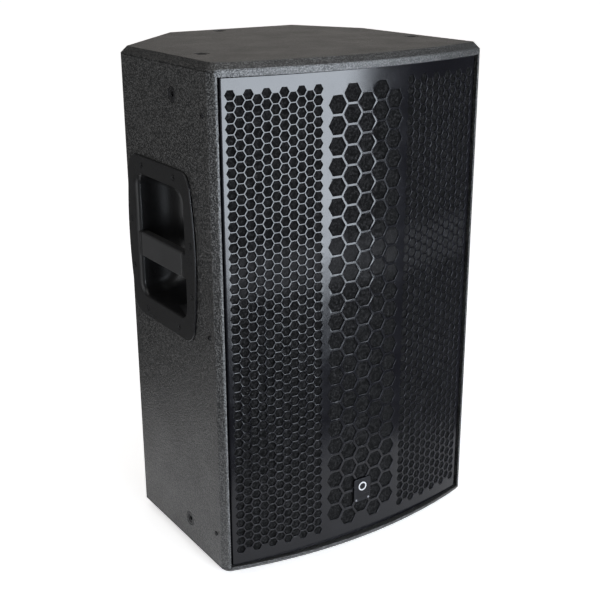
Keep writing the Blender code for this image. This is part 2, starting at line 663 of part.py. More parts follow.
def handle_rings(side):
    """From the back of the cup, out round the flange and down into the pocket. Heights are off the wall."""
    pocket_at = (side * (POCKET_Y - HANDLE_Y), POCKET_Z - HANDLE_Z)
    lip_at = (pocket_at[0] + side * POCKET_LIP / 2, pocket_at[1])
    width, height = POCKET_SIZE
    round_steps = 3

    def cup_ring(outward, turn):
        """A ring of the cup, turn running from its wall at 0 to its floor at a quarter turn."""
        inset = POCKET_ROUND * (1 - math.cos(turn)) - outward
        size = (width - 2 * inset, height - 2 * inset)
        depth = POCKET_DEPTH - POCKET_ROUND + (POCKET_ROUND + outward) * math.sin(turn)
        return at_height(bulged_rectangle(size, POCKET_CORNER + outward, centre=pocket_at), -depth)

    def flange_ring(inset, z):
        size = (HANDLE_SIZE[0] - 2 * inset, HANDLE_SIZE[1] - 2 * inset)
        return at_height(bulged_rectangle(size, 0.025 - inset, HANDLE_BULGE), z)

    turns = [math.pi / 2 * step / round_steps for step in range(round_steps + 1)]
    face_z = GAP + HANDLE_FLANGE
    cup_outline = bulged_rectangle(
        (width + 2 * POCKET_WALL, height + 2 * POCKET_WALL), POCKET_CORNER + POCKET_WALL, centre=pocket_at
    )
    lip = bulged_rectangle((width + POCKET_LIP, height + 0.004), POCKET_CORNER + 0.002, centre=lip_at)
    opening = bulged_rectangle(POCKET_SIZE, POCKET_CORNER, centre=pocket_at)
    return [
        *[cup_ring(POCKET_WALL, turn) for turn in turns[::-1]],
        at_height(cup_outline, GAP),
        flange_ring(0, GAP),
        flange_ring(0, face_z - 0.0015),
        flange_ring(0.0015, face_z),
        at_height(lip, face_z),
        at_height(opening, -0.003),
        *[cup_ring(0, turn) for turn in turns],
    ]


def add_handle(cabinet, side_name, side):
    """side is 1 on the right wall and -1 on the left one, where the plate's own X runs the other way."""
    at = (side * WIDTH / 2, HANDLE_Y, HANDLE_Z)
    handle = loft(f"{side_name}_handle", handle_rings(side))
    place(handle, HANDLE_PLASTIC, cabinet, at, facing(side, 0))
    grip_mid_w = GRIP_OUTER - GRIP_THICKNESS / 2
    grip_v = GRIP_Z - HANDLE_Z
    pocket_front_y = POCKET_Y - POCKET_SIZE[0] / 2
    pocket_rear_y = POCKET_Y + POCKET_SIZE[0] / 2
    seats = ((pocket_front_y - 0.003, GRIP_FRONT_Y - GAP), (GRIP_REAR_Y + GAP, pocket_rear_y + 0.004))
    for index, (low, high) in enumerate(seats):
        seat = box(f"{side_name}_seat_{index}", (high - low, GRIP_HEIGHT, GRIP_THICKNESS))
        join(handle, seat, handle, (side * ((low + high) / 2 - HANDLE_Y), grip_v, grip_mid_w))
    length, height, thickness = TENON
    reach = GRIP_REAR_Y - GRIP_FRONT_Y + 2 * length
    socket = box(f"{side_name}_tenon_hole", (reach + 2 * GAP, height + 2 * GAP, thickness + 2 * GAP))
    grip_u = side * ((GRIP_FRONT_Y + GRIP_REAR_Y) / 2 - HANDLE_Y)
    cut(handle, socket, handle, (grip_u, grip_v, grip_mid_w))

    grip = box(f"{side_name}_grip", (GRIP_REAR_Y - GRIP_FRONT_Y, GRIP_HEIGHT, GRIP_THICKNESS))
    grip_y, grip_x = (GRIP_FRONT_Y + GRIP_REAR_Y) / 2, WIDTH / 2 + grip_mid_w
    place(grip, GRIP_PLASTIC, cabinet, (side * grip_x, grip_y, GRIP_Z), facing(side, 0))
    bevel(grip, 0.0025, 2)
    join(grip, box(f"{side_name}_tenon", (reach, height, thickness)))


# ---------------------------------------------------------------- rigging points, feet and pole socket


def rigging_point(name, cabinet, location, rotation):
    """A threaded steel insert, closed by a plug with a blind drive socket."""
    face, drive_radius, drive_depth = -0.0005, 0.0035, 0.005
    profile = [
        (0, face - drive_depth),
        (drive_radius, face - drive_depth),
        (drive_radius, face),
        (RIGGING_RADIUS, face),
        (RIGGING_RADIUS, face - RIGGING_LENGTH),
        (0, face - RIGGING_LENGTH),
    ]
    place(turned(name, profile, 16), RIGGING_STEEL, cabinet, location, rotation)


def add_rigging(cabinet):
    for side_name, side in (("left", -1), ("right", 1)):
        for level, (y, z) in SIDE_RIGGING.items():
            name = f"rigging_point_{side_name}_{level}"
            rigging_point(name, cabinet, (side * WIDTH / 2, y, z), facing(side, 0))
    for place_name, (x, y) in TOP_RIGGING.items():
        rigging_point(f"rigging_point_top_{place_name}", cabinet, (x, y, HEIGHT), (0, 0, 0))


def add_base_feet(cabinet):
    top = BODY_BOTTOM - GAP
    radius, edge = BASE_FOOT_RADIUS, 0.002
    profile = [(0, top), (radius, top), (radius, edge), (radius - edge, 0), (0, 0)]
    for place_name, (x, y) in BASE_FEET.items():
        place(turned(f"base_foot_{place_name}", profile, 18), RUBBER, cabinet, (x, y, 0))


def add_monitor_feet(cabinet):
    """Feet on the left rear wall, for lying on it as a floor monitor."""
    start, end = Vector(LEFT_REAR), Vector(BACK_LEFT)
    along = (end - start).normalized()
    height, radius = MONITOR_FOOT_HEIGHT, MONITOR_FOOT_RADIUS
    profile = [(0, GAP), (radius, GAP), (radius, height - 0.0015), (radius - 0.0015, height), (0, height)]
    places = {"left": start + along * MONITOR_FOOT_INSET, "right": end - along * MONITOR_FOOT_INSET}
    for place_name, (x, y) in places.items():
        for level, z in MONITOR_FOOT_Z.items():
            foot = turned(f"monitor_foot_{level}_{place_name}", profile, 18)
            place(foot, RUBBER, cabinet, (x, y, z), facing(-along.y, along.x))


def add_pole_socket(cabinet):
    flange_top, flange_bottom = BODY_BOTTOM - GAP, BODY_BOTTOM - 0.0028
    profile = [
        (0, POLE_TOP_Z),
        (POLE_TUBE, POLE_TOP_Z),
        (POLE_TUBE, flange_top),
        (POLE_FLANGE, flange_top),
        (POLE_FLANGE, flange_bottom),
        (POLE_BORE, flange_bottom),
        (POLE_BORE, POLE_TOP_Z - 0.003),
        (0, POLE_TOP_Z - 0.003),
    ]
    place(turned("pole_socket", profile, 20), SOCKET_PLASTIC, cabinet, (0, POLE_Y, 0))


# ---------------------------------------------------------------- woofer, horn and ports


def cone_height(radius):
    """How far forward the middle of the cone paper is at a radius."""
    share = (radius - CONE_NECK[0]) / (CONE_EDGE[0] - CONE_NECK[0])
    return CONE_NECK[1] + (CONE_EDGE[1] - CONE_NECK[1]) * share**0.8


def add_basket(frame):
    outside = [
        (0.191, 0.009),
        (0.191, GAP),
        (0.1735, GAP),
        (0.166, -0.030),
        (0.112, -0.084),
        (0.108, -0.092),
        (0.062, -0.092),
    ]
    inside = [
        (0.062, -0.0885),
        (0.095, -0.0885),
        (0.095, -0.080),
        (0.108, -0.080),
        (0.162, -0.028),
        (0.1695, 0.004),
        (0.180, 0.004),
        (0.180, 0.009),
    ]
    basket = place(turned("woofer_basket", outside + inside, 30), BASKET_METAL, frame)
    for index in range(3):
        window = box(f"basket_window_{index}", (0.4, 0.075, 0.057))
        cut(basket, window, frame, (0, 0, -0.0465), (0, 0, math.pi / 3 * index))


def add_magnet(frame):
    """Top plate, ring magnet, back plate and vented pole piece, with the gap for the voice coil."""
    outside = [(0.085, -0.0925), (0.085, -0.1005), (0.090, -0.1005), (0.090, -0.1225), (0.085, -0.1225)]
    back = [(0.085, -0.1325), (0.012, -0.1325), (0.012, -0.0925)]
    coil_gap = [(0.0365, -0.0925), (0.0365, -0.1235), (0.048, -0.1235), (0.048, -0.1005), (0.0412, -0.1005)]
    place(turned("woofer_magnet", outside + back + coil_gap + [(0.0412, -0.0925)], 24), MAGNET, frame)


def add_cone(motion):
    steps = 4
    radii = [CONE_NECK[0] + (CONE_EDGE[0] - CONE_NECK[0]) * step / steps for step in range(steps + 1)]
    path = [(radius, cone_height(radius)) for radius in radii]
    place(turned("woofer_cone", strip(path, 0.002), 30), PAPER, motion)


def add_dust_cap(motion):
    edge, rise, thickness, steps = 0.048, 0.014, 0.001, 4
    base = cone_height(edge) + 0.0022
    sphere = (edge**2 + rise**2) / (2 * rise)
    centre = base + rise - sphere
    angles = [math.asin(edge / sphere) * step / steps for step in range(steps + 1)]
    outer = [(sphere * math.sin(a), centre + sphere * math.cos(a)) for a in angles]
    hollow = sphere - thickness
    inner = [(hollow * math.sin(a), centre + hollow * math.cos(a)) for a in angles[::-1]]
    place(turned("woofer_dust_cap", outer + inner, 24), PAPER, motion)


def add_coil(motion):
    inner, outer, front, back = 0.0378, 0.0395, -0.070, -0.112
    profile = [(outer, front), (outer, back), (inner, back), (inner, front)]
    place(turned("woofer_coil", profile, 24), COPPER, motion)


def add_surround(frame):
    """A half roll between the basket's ledge and the edge of the cone."""
    roll_middle, roll_radius, land, steps = 0.1632, 0.0078, 0.005, 5
    angles = [math.pi * step / steps for step in range(steps + 1)]
    roll = [(roll_middle + roll_radius * math.cos(a), land + roll_radius * math.sin(a)) for a in angles]
    path = [(0.1795, land), *roll, (roll_middle - roll_radius, -0.0015)]
    place(turned("woofer_surround", strip(path, 0.0012), 30), SURROUND_CLOTH, frame)


def add_spider(frame):
    """A corrugated disc that centres the voice coil."""
    level, wave, waves = -0.079, 0.002, 5
    inner, outer = 0.046, 0.092
    pitch = (outer - inner) / waves
    ridges = [(inner + (index + 0.5) * pitch, level + wave * (-1) ** index) for index in range(waves)]
    path = [(0.0403, level), (inner, level), *ridges, (outer, level), (0.106, level)]
    place(turned("woofer_spider", strip(path, 0.0008), 24), SPIDER_CLOTH, frame)


def add_horn(frame):
    """A flare from a round throat to an oblong mouth, with a front flange and a throat flange."""
    steps, face, throat_flange, throat_plate = 5, 0.0053, 0.045, 0.006

    def flare(share, outward):
        """A ring of the flare, share running from the throat at 0 to the mouth at 1."""
        half_x, half_y = (THROAT_RADIUS * (side / 2 / THROAT_RADIUS) ** (share**0.8) for side in HORN_MOUTH)
        return superellipse(half_x + outward, half_y + outward, 2 + 6 * share)

    shares = [step / steps for step in range(steps + 1)]
    inner = [at_height(flare(share, 0), face - (HORN_DEPTH + face) * (1 - share)) for share in shares]
    outer_depth = HORN_DEPTH - throat_plate
    outer = [at_height(flare(share, HORN_WALL), GAP - outer_depth * (1 - share)) for share in shares]
    flange_half = [side / 2 for side in HORN_FLANGE]
    flange = superellipse(*flange_half, 14)
    bore_end = -HORN_DEPTH - throat_plate
    plate_edge = superellipse(throat_flange, throat_flange, 2)
    rings = [
        *inner[::-1],
        at_height(superellipse(THROAT_RADIUS, THROAT_RADIUS, 2), bore_end),
        at_height(plate_edge, bore_end),
        at_height(plate_edge, -HORN_DEPTH + throat_plate / 2),
        *outer,
        at_height(flange, GAP),
        at_height(flange, face),
    ]
    place(loft("horn", rings, closed=True), HORN_PLASTIC, frame)


def add_compression_driver(frame):
    front = -HORN_DEPTH - 0.006 - GAP
    profile = [
        (0, front - 0.024),
        (THROAT_RADIUS, front - 0.024),
        (THROAT_RADIUS, front),
        (0.045, front),
        (0.045, front - 0.006),
        (0.055, front - 0.006),
        (0.055, front - 0.044),
        (0.046, front - 0.053),
        (0, front - 0.053),
    ]
    place(turned("compression_driver", profile, 20), DRIVER_METAL, frame)


def add_port(cabinet, side_name, side):
    bore = PORT_RADIUS - PORT_WALL
    profile = [
        (0.038, 0.0033),
        (0.038, GAP),
        (PORT_RADIUS, GAP),
        (PORT_RADIUS, -PORT_LENGTH),
        (bore, -PORT_LENGTH),
        (bore, -0.004),
        (bore + 0.0035, 0.0033),
    ]
    port = turned(f"port_{side_name}", profile, 20)
    place(port, HORN_PLASTIC, cabinet, (side * PORT_X, BAFFLE_Y, PORT_Z), facing(0, -1))


# ---------------------------------------------------------------- amplifier


def on_amp(offset, z):
    """A point on the amplifier panel's face. Offsets grow to the right of someone who looks at the back."""
    return (AMP_X - offset, AMP_FACE_Y, z)


def add_amp_panel(cabinet):
    loops = [rectangle(AMP_SIZE, 0.005)]
    loops += [circle(0.0035, (offset, KNOB_Z - AMP_Z), 12) for offset in KNOB_OFFSETS.values()]
    loops += [
        circle(SOCKET_BODY + CLEARANCE, (offset, SOCKET_Z - AMP_Z)) for offset in SOCKET_OFFSETS.values()
    ]
    inlet_hole = [side + CLEARANCE for side in INLET_BODY[:2]]
    loops.append(rectangle(inlet_hole, 0, (INLET_OFFSET, MAINS_Z - AMP_Z)))
    switch_hole = [side + 0.0024 + CLEARANCE for side in SWITCH_HOLE]
    loops.append(rectangle(switch_hole, 0, (SWITCH_OFFSET, MAINS_Z - AMP_Z)))
    panel = plate("amp_panel", loops, AMP_SHEET)
    place(panel, AMP_METAL, cabinet, (AMP_X, AMP_FACE_Y - AMP_SHEET / 2, AMP_Z), facing(0, 1))


def add_heatsink(cabinet):
    width, height = HEATSINK_SIZE
    root_y = AMP_FACE_Y + GAP
    valley_y = root_y + HEATSINK_BASE
    pitch = (width - FIN_THICKNESS) / (FIN_COUNT - 1)
    outline = [(-width / 2, root_y), (width / 2, root_y)]
    for fin in range(FIN_COUNT):
        right = width / 2 - fin * pitch
        left = right - FIN_THICKNESS
        if fin > 0:
            outline.append((right, valley_y))
        outline += [(right, HEATSINK_BACK_Y), (left, HEATSINK_BACK_Y)]
        if fin < FIN_COUNT - 1:
            outline.append((left, valley_y))
    heatsink = plate("amp_heatsink", [outline], height)
    place(heatsink, HEATSINK_METAL, cabinet, (AMP_X, 0, HEATSINK_Z))


def add_amp_board(cabinet):
    """Circuit board on four posts, with the toroidal transformer and the reservoir capacitors."""
    width, height = BOARD_SIZE
    board = plate("amp_board", [rectangle(BOARD_SIZE)], BOARD_THICKNESS)
    place(board, BOARD, cabinet, (AMP_X, BOARD_Y, AMP_Z), facing(0, 1))
    post_length = AMP_FACE_Y - AMP_SHEET - GAP - BOARD_Y
    for x in (-1, 1):
        for z in (-1, 1):
            post = cylinder(f"board_post_{x}_{z}", 0.003, post_length, 8)
            join(board, post, board, (x * (width / 2 - 0.008), z * (height / 2 - 0.008), post_length / 2))
    radius, length = TOROID
    join(board, cylinder("toroid", radius, length, 18), board, (0, TOROID_Z, -length / 2))
    radius, length = CAPACITOR
    for index in (-1, 0, 1):
        capacitor = cylinder(f"capacitor_{index}", radius, length, 10)
        join(board, capacitor, board, (index * CAPACITOR_PITCH, CAPACITOR_Z, -length / 2))


def add_knobs(cabinet):
    profile = [
        (0, KNOB_LENGTH),
        (KNOB_RADIUS - 0.001, KNOB_LENGTH),
        (KNOB_RADIUS, KNOB_LENGTH - 0.001),
        (KNOB_RADIUS, GAP),
        (0.003, GAP),
        (0.003, -0.012),
        (0, -0.012),
    ]
    for name, offset in KNOB_OFFSETS.items():
        knob = place(turned(name, profile, 16), KNOB_PLASTIC, cabinet, on_amp(offset, KNOB_Z), facing(0, 1))
        join(knob, box(f"{name}_pointer", (0.0014, 0.006, 0.0016)), knob, (0, 0.0045, KNOB_LENGTH))


def add_input_sockets(cabinet):
    flange, body_depth, bore_depth = 0.002, 0.022, 0.015
    for name, offset in SOCKET_OFFSETS.items():
        socket = plate(name, [rectangle((0.026, 0.031), 0.003, steps=2)], flange)
        x, y, z = on_amp(offset, SOCKET_Z)
        place(socket, CONNECTOR_PLASTIC, cabinet, (x, y + GAP + flange / 2, z), facing(0, 1))
        join(socket, cylinder(f"{name}_body", SOCKET_BODY, body_depth), socket, (0, 0, -body_depth / 2))
        cut(socket, cylinder(f"{name}_bore", SOCKET_BORE, 2 * bore_depth), socket, (0, 0, flange / 2))


def add_mains_inlet(cabinet):
    flange = 0.002
    inlet = plate("mains_inlet", [rectangle((0.048, 0.028), 0.003, steps=2)], flange)
    x, y, z = on_amp(INLET_OFFSET, MAINS_Z)
    place(inlet, CONNECTOR_PLASTIC, cabinet, (x, y + GAP + flange / 2, z), facing(0, 1))
    join(inlet, box("inlet_body", INLET_BODY), inlet, (0, 0, -INLET_BODY[2] / 2))
    width, height, depth = INLET_CAVITY
    cut(inlet, box("inlet_cavity", (width, height, 2 * depth)), inlet, (0, 0, flange / 2))


def add_power_switch(cabinet):
    """A rocker in a bezel. The rocker tips about the X axis and rests with its lower half pressed in."""
    flange, sleeve_depth, sleeve_wall = 0.002, 0.014, 0.0012
    hole_x, hole_z = SWITCH_HOLE
    bezel_loops = [rectangle((0.018, 0.024), 0.002, steps=2), rectangle(SWITCH_HOLE)]
    bezel = plate("power_switch_bezel", bezel_loops, flange)
    x, y, z = on_amp(SWITCH_OFFSET, MAINS_Z)
    place(bezel, SWITCH_PLASTIC, cabinet, (x, y + GAP + flange / 2, z), facing(0, 1))
    sleeve_sizes = [(hole_x + extra, hole_z + extra) for extra in (2 * sleeve_wall, 2 * GAP)]
    sleeve = plate("switch_sleeve", [rectangle(size) for size in sleeve_sizes], sleeve_depth)
    join(bezel, sleeve, bezel, (0, 0, (GAP + sleeve_wall - sleeve_depth) / 2))

    axis = new_empty("power_switch_axis", (x, SWITCH_PIVOT_Y, z), (SWITCH_REST, 0, 0), cabinet)
    half = [(0.0088, 0.0040), (0.0092, 0.0008), (0.0040, -0.0060)]
    outline = [(0, 0.0016), *half, *[(-up, out) for up, out in half[::-1]]]
    rocker = plate("power_switch", [outline], hole_x - 2 * GAP)
    place(rocker, SWITCH_PLASTIC, axis, (0, 0, 0), (0, -math.pi / 2, 0))


# ---------------------------------------------------------------- assembly


def build():
    cabinet = new_empty("cabinet", (0, -DEPTH_MID, 0))
    add_top_panel(cabinet)
    add_bottom_panel(cabinet)
    add_side_panel(cabinet, "right_panel", 1, RIGHT_REAR, BACK_RIGHT)
    add_side_panel(cabinet, "left_panel", -1, LEFT_REAR, BACK_LEFT)
    add_rear_boards(cabinet)
    add_baffle(cabinet)
    add_window_brace(cabinet)
    add_grille(cabinet)
    add_foam(cabinet)
    add_badge(cabinet)
    add_grille_screws(cabinet)
    add_rigging(cabinet)
    add_base_feet(cabinet)
    add_monitor_feet(cabinet)
    add_pole_socket(cabinet)
    for side_name, side in (("left", -1), ("right", 1)):
        add_handle(cabinet, side_name, side)
        add_port(cabinet, side_name, side)

    woofer = new_empty("woofer_frame", (0, BAFFLE_Y, WOOFER_Z), facing(0, -1), cabinet)
    add_basket(woofer)
    add_magnet(woofer)
    add_surround(woofer)
    add_spider(woofer)
    motion = new_empty("woofer_motion", (0, 0, 0), (0, 0, 0), woofer)
    add_cone(motion)
    add_dust_cap(motion)
    add_coil(motion)

    tweeter = new_empty("horn_frame", (0, BAFFLE_Y, HORN_Z), facing(0, -1), cabinet)
    add_horn(tweeter)
    add_compression_driver(tweeter)

    add_amp_panel(cabinet)
    add_heatsink(cabinet)
    add_amp_board(cabinet)
    add_knobs(cabinet)
    add_input_sockets(cabinet)
    add_mains_inlet(cabinet)
    add_power_switch(cabinet)


build()
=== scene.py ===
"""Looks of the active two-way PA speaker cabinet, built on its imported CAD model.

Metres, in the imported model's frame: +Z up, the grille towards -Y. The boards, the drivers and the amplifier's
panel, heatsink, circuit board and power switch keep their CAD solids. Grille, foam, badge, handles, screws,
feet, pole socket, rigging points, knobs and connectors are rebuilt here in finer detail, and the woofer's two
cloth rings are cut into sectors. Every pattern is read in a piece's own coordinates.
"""

import math

import bmesh
import bpy
from mathutils import Euler, Matrix, Vector


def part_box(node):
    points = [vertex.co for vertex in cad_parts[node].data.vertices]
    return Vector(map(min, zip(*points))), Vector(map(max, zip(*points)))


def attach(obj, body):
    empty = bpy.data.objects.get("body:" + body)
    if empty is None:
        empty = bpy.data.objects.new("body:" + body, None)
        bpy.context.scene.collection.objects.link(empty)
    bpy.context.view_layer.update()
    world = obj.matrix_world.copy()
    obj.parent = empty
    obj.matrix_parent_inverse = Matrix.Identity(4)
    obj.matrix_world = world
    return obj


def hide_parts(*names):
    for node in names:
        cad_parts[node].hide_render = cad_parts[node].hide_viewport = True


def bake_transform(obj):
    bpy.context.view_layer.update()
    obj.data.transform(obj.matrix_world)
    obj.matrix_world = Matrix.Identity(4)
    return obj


# Camera
CAMERA_AT = (-0.8207, -1.2924, 0.8503)
CAMERA_YAW, CAMERA_PITCH, CAMERA_ROLL = math.radians(33.44), math.radians(19.286), math.radians(-0.265)
CAMERA_LENS = 64.13  # mm, on a 36 mm sensor

# Studio
ROOM = 0.10  # how bright the dim studio round the lights is
TABLE_RADIUS, FLOOR_RADIUS = 0.5, 60.0  # only the table, the floor's middle, shows in the cabinet's gloss
FLOOR_GLOW, FLOOR_BOUNCE = 0.64, 0.30  # the floor's own light, as the camera and as the cabinet sees it
CEILING_POWER, CEILING_SPREAD, CEILING_COLOUR = 1.0, math.radians(70), (1.0, 0.985, 0.965)
BLUE_WHITE, COOL_WHITE, WARM_WHITE = (0.84, 0.91, 1.0), (0.95, 0.97, 1.0), (1.0, 0.93, 0.86)
SOFTBOXES = (  # name, place, what it faces, width and height, watts, colour
    ("front_softbox", (0.42, -2.27, 0.35), (-0.1, -0.2, 0.35), (1.84, 1.3), 105, BLUE_WHITE),
    ("front_left_softbox", (-1.05, -2.10, 0.35), (0.0, -0.2, 0.35), (1.1, 1.3), 5, BLUE_WHITE),
    ("left_softbox", (-1.6, 0.35, 0.50), (-0.2, 0.0, 0.35), (0.6, 1.4), 3, COOL_WHITE),
    ("left_strip", (-1.4, 0.05, 0.40), (-0.2, -0.1, 0.35), (0.12, 1.6), 1, COOL_WHITE),
    ("rear_softbox", (1.4, 2.0, 1.5), (0.0, 0.0, 0.7), (1.5, 1.0), 2.2, WARM_WHITE),
)

# Softened edges
BOARD_EDGE, BOARD_EDGE_ANGLE = 0.0014, 25  # degrees
REAR_BOARD_EDGE, PANEL_EDGE, HEATSINK_EDGE, CONNECTOR_EDGE = 0.0003, 0.0003, 0.0004, 0.0003

# Grille: two bands of small holes and one of large ones
GRILLE_RADIUS = 0.828  # of the bowed face
SHEET = 0.0015
FOLD_RADIUS = 0.003
SMALL_HOLE, SMALL_PITCH, SMALL_COLUMN, SMALL_COLUMNS, SMALL_ROWS = 0.0118, 0.01346, 0.01165, 11, 47
SMALL_FIRST_COLUMN, HOLES_MID_Z = 0.0733, 0.3521
LARGE_HOLE, LARGE_PITCH, LARGE_COLUMNS, LARGE_ROWS = 0.0230, 0.02624, 5, 23
SHEET_STATION = 0.008  # the flat sheet is cut at this spacing, so that it bends smoothly
FOLD_STATION, FOLD_STATIONS = 0.0008, 12  # and at this one where it folds back
PUNCH_ROUND = 0.00018  # of the holes' edges

# Foam
FOAM_THICKNESS, FOAM_GAP, FOAM_WAVE = 0.006, 0.0004, 0.00025  # the gap is to the back of the grille
FOAM_EDGE_GAP = 0.0005
BAFFLE_LIGHT_BAND = 0.022  # how softly the foam's painted lighter band, over the baffle bar behind it, fades out

# Handles, measured from the wall
HANDLE_SIZE, HANDLE_BULGE, FLANGE = (0.178, 0.230), 0.0085, 0.0033
POCKET_SIZE, POCKET_DEPTH, POCKET_WALL = (0.1365, 0.173), 0.058, 0.005
POCKET_CORNER, POCKET_FRONT_CORNER, POCKET_LIP = 0.018, 0.070, 0.0125
POCKET_ROUND, POCKET_DISH = 0.044, 0.038  # depth and width of the round from the cup's wall to its bottom
POCKET_Y, POCKET_Z = -0.0040, 0.0027  # from the middle of the flange
HANDLE_SCREWS = [(y, z) for z in (0.1027, -0.1008) for y in (0.0467, -0.0468)]
HANDLE_SCREWS += [(y, z) for y in (-0.0863, 0.0837) for z in (0.0212, -0.0468)]

MONITOR_FOOT_HEIGHT = 0.0092

# Screws: head's radius and height, and half the width of the drive
GRILLE_SCREW = (0.0035, 0.0012, 0.0012)
HANDLE_SCREW = (0.0034, 0.0011, 0.0012)
SOCKET_SCREW = (0.0036, 0.0010, 0.0012)
FLANGE_SCREW = (0.0024, 0.0009, 0.0008)

# Amplifier
KNOB_RIBS, KNOB_TICKS, KNOB_TURN = 24, 11, 150  # the turn is in degrees to each side of the middle
CONNECTOR_FLANGE, CONNECTOR_FLANGE_MIDDLE = 0.002, 0.0013  # thickness, and its middle above the panel
FLANGE_SCREW_SEAT = 0.0023
PANEL_SCREW_INSET = 0.008

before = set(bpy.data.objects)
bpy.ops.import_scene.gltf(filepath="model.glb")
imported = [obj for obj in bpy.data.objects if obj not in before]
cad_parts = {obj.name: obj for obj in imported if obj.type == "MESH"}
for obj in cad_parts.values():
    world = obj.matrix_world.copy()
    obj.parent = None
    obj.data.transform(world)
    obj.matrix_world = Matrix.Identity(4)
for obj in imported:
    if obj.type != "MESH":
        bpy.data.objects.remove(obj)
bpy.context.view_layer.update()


# ---- places


def middle(node):
    low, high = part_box(node)
    return (low + high) / 2


def size(node):
    low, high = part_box(node)
    return high - low


def facing(x, y, location):
    """The matrix that turns a piece's own +Z to the horizontal direction (x, y), with its +Y up."""
    return Matrix.LocRotScale(Vector(location), Euler((math.pi / 2, 0, math.atan2(x, -y))), None)


# ---- materials


def node(tree, kind, inputs=None, **settings):
    """A new shader node. inputs holds values, or the outputs of other nodes to link in."""
    made = tree.nodes.new(kind)
    for setting, value in settings.items():
        setattr(made, setting, value)
    for socket, value in (inputs or {}).items():
        if isinstance(value, bpy.types.NodeSocket):
            tree.links.new(value, made.inputs[socket])
        else:
            made.inputs[socket].default_value = value
    return made


def start_material(name, metallic=0.0, specular=0.5):
    """A material, its node tree, its surface shader and the coordinates that its patterns use."""
    material = bpy.data.materials.new(name)
    material.use_nodes = True
    tree = material.node_tree
    surface = tree.nodes["Principled BSDF"]
    surface.inputs["Metallic"].default_value = metallic
    surface.inputs["Specular IOR Level"].default_value = specular
    place = node(tree, "ShaderNodeTexCoord").outputs["Object"]
    return material, tree, surface, place


def scaled(tree, place, scale):
    return node(tree, "ShaderNodeMapping", {"Vector": place, "Scale": scale}).outputs["Vector"]


def noise(tree, place, feature, detail=2.0):
    """Noise whose features are about that size in metres."""
    inputs = {"Vector": place, "Scale": 1 / feature, "Detail": detail}
    return node(tree, "ShaderNodeTexNoise", inputs).outputs["Fac"]


def spread(tree, value, low, high, new_low=0.0, new_high=1.0):
    """Maps low..high to new_low..new_high, held at both ends."""
    inputs = {"Value": value, "From Min": low, "From Max": high, "To Min": new_low, "To Max": new_high}
    return node(tree, "ShaderNodeMapRange", inputs).outputs["Result"]


def calc(tree, operation, first, second):
    return node(tree, "ShaderNodeMath", {0: first, 1: second}, operation=operation).outputs[0]


def blend_colour(tree, share, first, second):
    """The second colour where share is 1 and the first where it is 0. A single number is a grey."""
    mix = node(tree, "ShaderNodeMix", {0: share}, data_type="RGBA")
    for index, colour in ((6, first), (7, second)):
        red_green_blue = (colour,) * 3 if isinstance(colour, float) else colour
        mix.inputs[index].default_value = (*red_green_blue, 1.0)
    return mix.outputs[2]


def finish_surface(tree, surface, colour, roughness, height, depth):
    """Links colour and roughness to the surface, with bump of that depth in metres."""
    tree.links.new(colour, surface.inputs["Base Color"])
    tree.links.new(roughness, surface.inputs["Roughness"])
    bump = node(tree, "ShaderNodeBump", {"Height": height, "Distance": depth, "Strength": 1.0})
    tree.links.new(bump.outputs["Normal"], surface.inputs["Normal"])


def pebbled(
    name, dark, light, roughness, grain, depth, metallic=0.0, specular=0.5, painted_glints=(0.56, 0.72), cloudy=0.25
):
    """Rolled paint, moulded plastic or rubber: pebbles of one size, lighter flecks on their tops, which are
    painted glints, and broad clouding.
    """
    material, tree, surface, place = start_material(name, metallic, specular)
    pebbles = noise(tree, place, grain, 3.0)
    cells = node(tree, "ShaderNodeTexVoronoi", {"Vector": place, "Scale": 0.8 / grain}).outputs["Distance"]
    clouds = noise(tree, place, 0.05, 4.0)
    # painted highlight: the colour is lighter on the pebbles' tops, standing in for glints
    painted_glint = spread(tree, pebbles, *painted_glints)
    cloud = spread(tree, clouds, 0.35, 0.65, 0.0, cloudy)
    shade = calc(tree, "ADD", calc(tree, "MULTIPLY", painted_glint, 1 - cloudy), cloud)
    broad, fine = spread(tree, clouds, 0.3, 0.7, -0.05, 0.05), spread(tree, pebbles, 0.3, 0.7, -0.06, 0.06)
    rough = calc(tree, "ADD", calc(tree, "ADD", broad, fine), roughness)
    height = calc(tree, "SUBTRACT", pebbles, calc(tree, "MULTIPLY", cells, 0.5))
    finish_surface(tree, surface, blend_colour(tree, shade, dark, light), rough, height, depth)
    return material


def streaked(name, dark, light, roughness, stretch, depth, metallic=1.0):
    """Drawn, rolled or cast metal. stretch scales the three axes, so streaks run long where it is small."""
    material, tree, surface, place = start_material(name, metallic)
    streaks = noise(tree, scaled(tree, place, stretch), 0.0012, 4.0)
    stains = noise(tree, place, 0.02, 4.0)
    streak, stain = spread(tree, streaks, 0.35, 0.65, 0.0, 0.6), spread(tree, stains, 0.35, 0.65, 0.0, 0.4)
    shade = calc(tree, "ADD", streak, stain)
    rough = calc(tree, "ADD", spread(tree, streaks, 0.3, 0.7, -0.07, 0.07), roughness)
    finish_surface(tree, surface, blend_colour(tree, shade, dark, light), rough, streaks, depth)
    return material


def woven(name, dark, light, thread, depth, centre):
    """Treated cloth of a part turned about a horizontal axis at centre: threads crossing at right angles."""
    material, tree, surface, place = start_material(name, specular=0.2)
    threads = []
    for direction in ("X", "Z"):
        inputs = {"Vector": place, "Scale": 1 / thread, "Distortion": 0.4, "Detail": 1.0}
        threads.append(node(tree, "ShaderNodeTexWave", inputs, bands_direction=direction).outputs["Fac"])
    weave = calc(tree, "MAXIMUM", *threads)
    from_centre = tuple(-distance for distance in centre)
    centred = node(tree, "ShaderNodeMapping", {"Vector": place, "Location": from_centre}).outputs["Vector"]
    dust = noise(tree, centred, 0.015, 4.0)
    shade = calc(tree, "MULTIPLY", weave, spread(tree, dust, 0.3, 0.7, 0.4, 1.0))
    rough = spread(tree, weave, 0.0, 1.0, 0.9, 0.72)
    finish_surface(tree, surface, blend_colour(tree, shade, dark, light), rough, weave, depth)
    return material


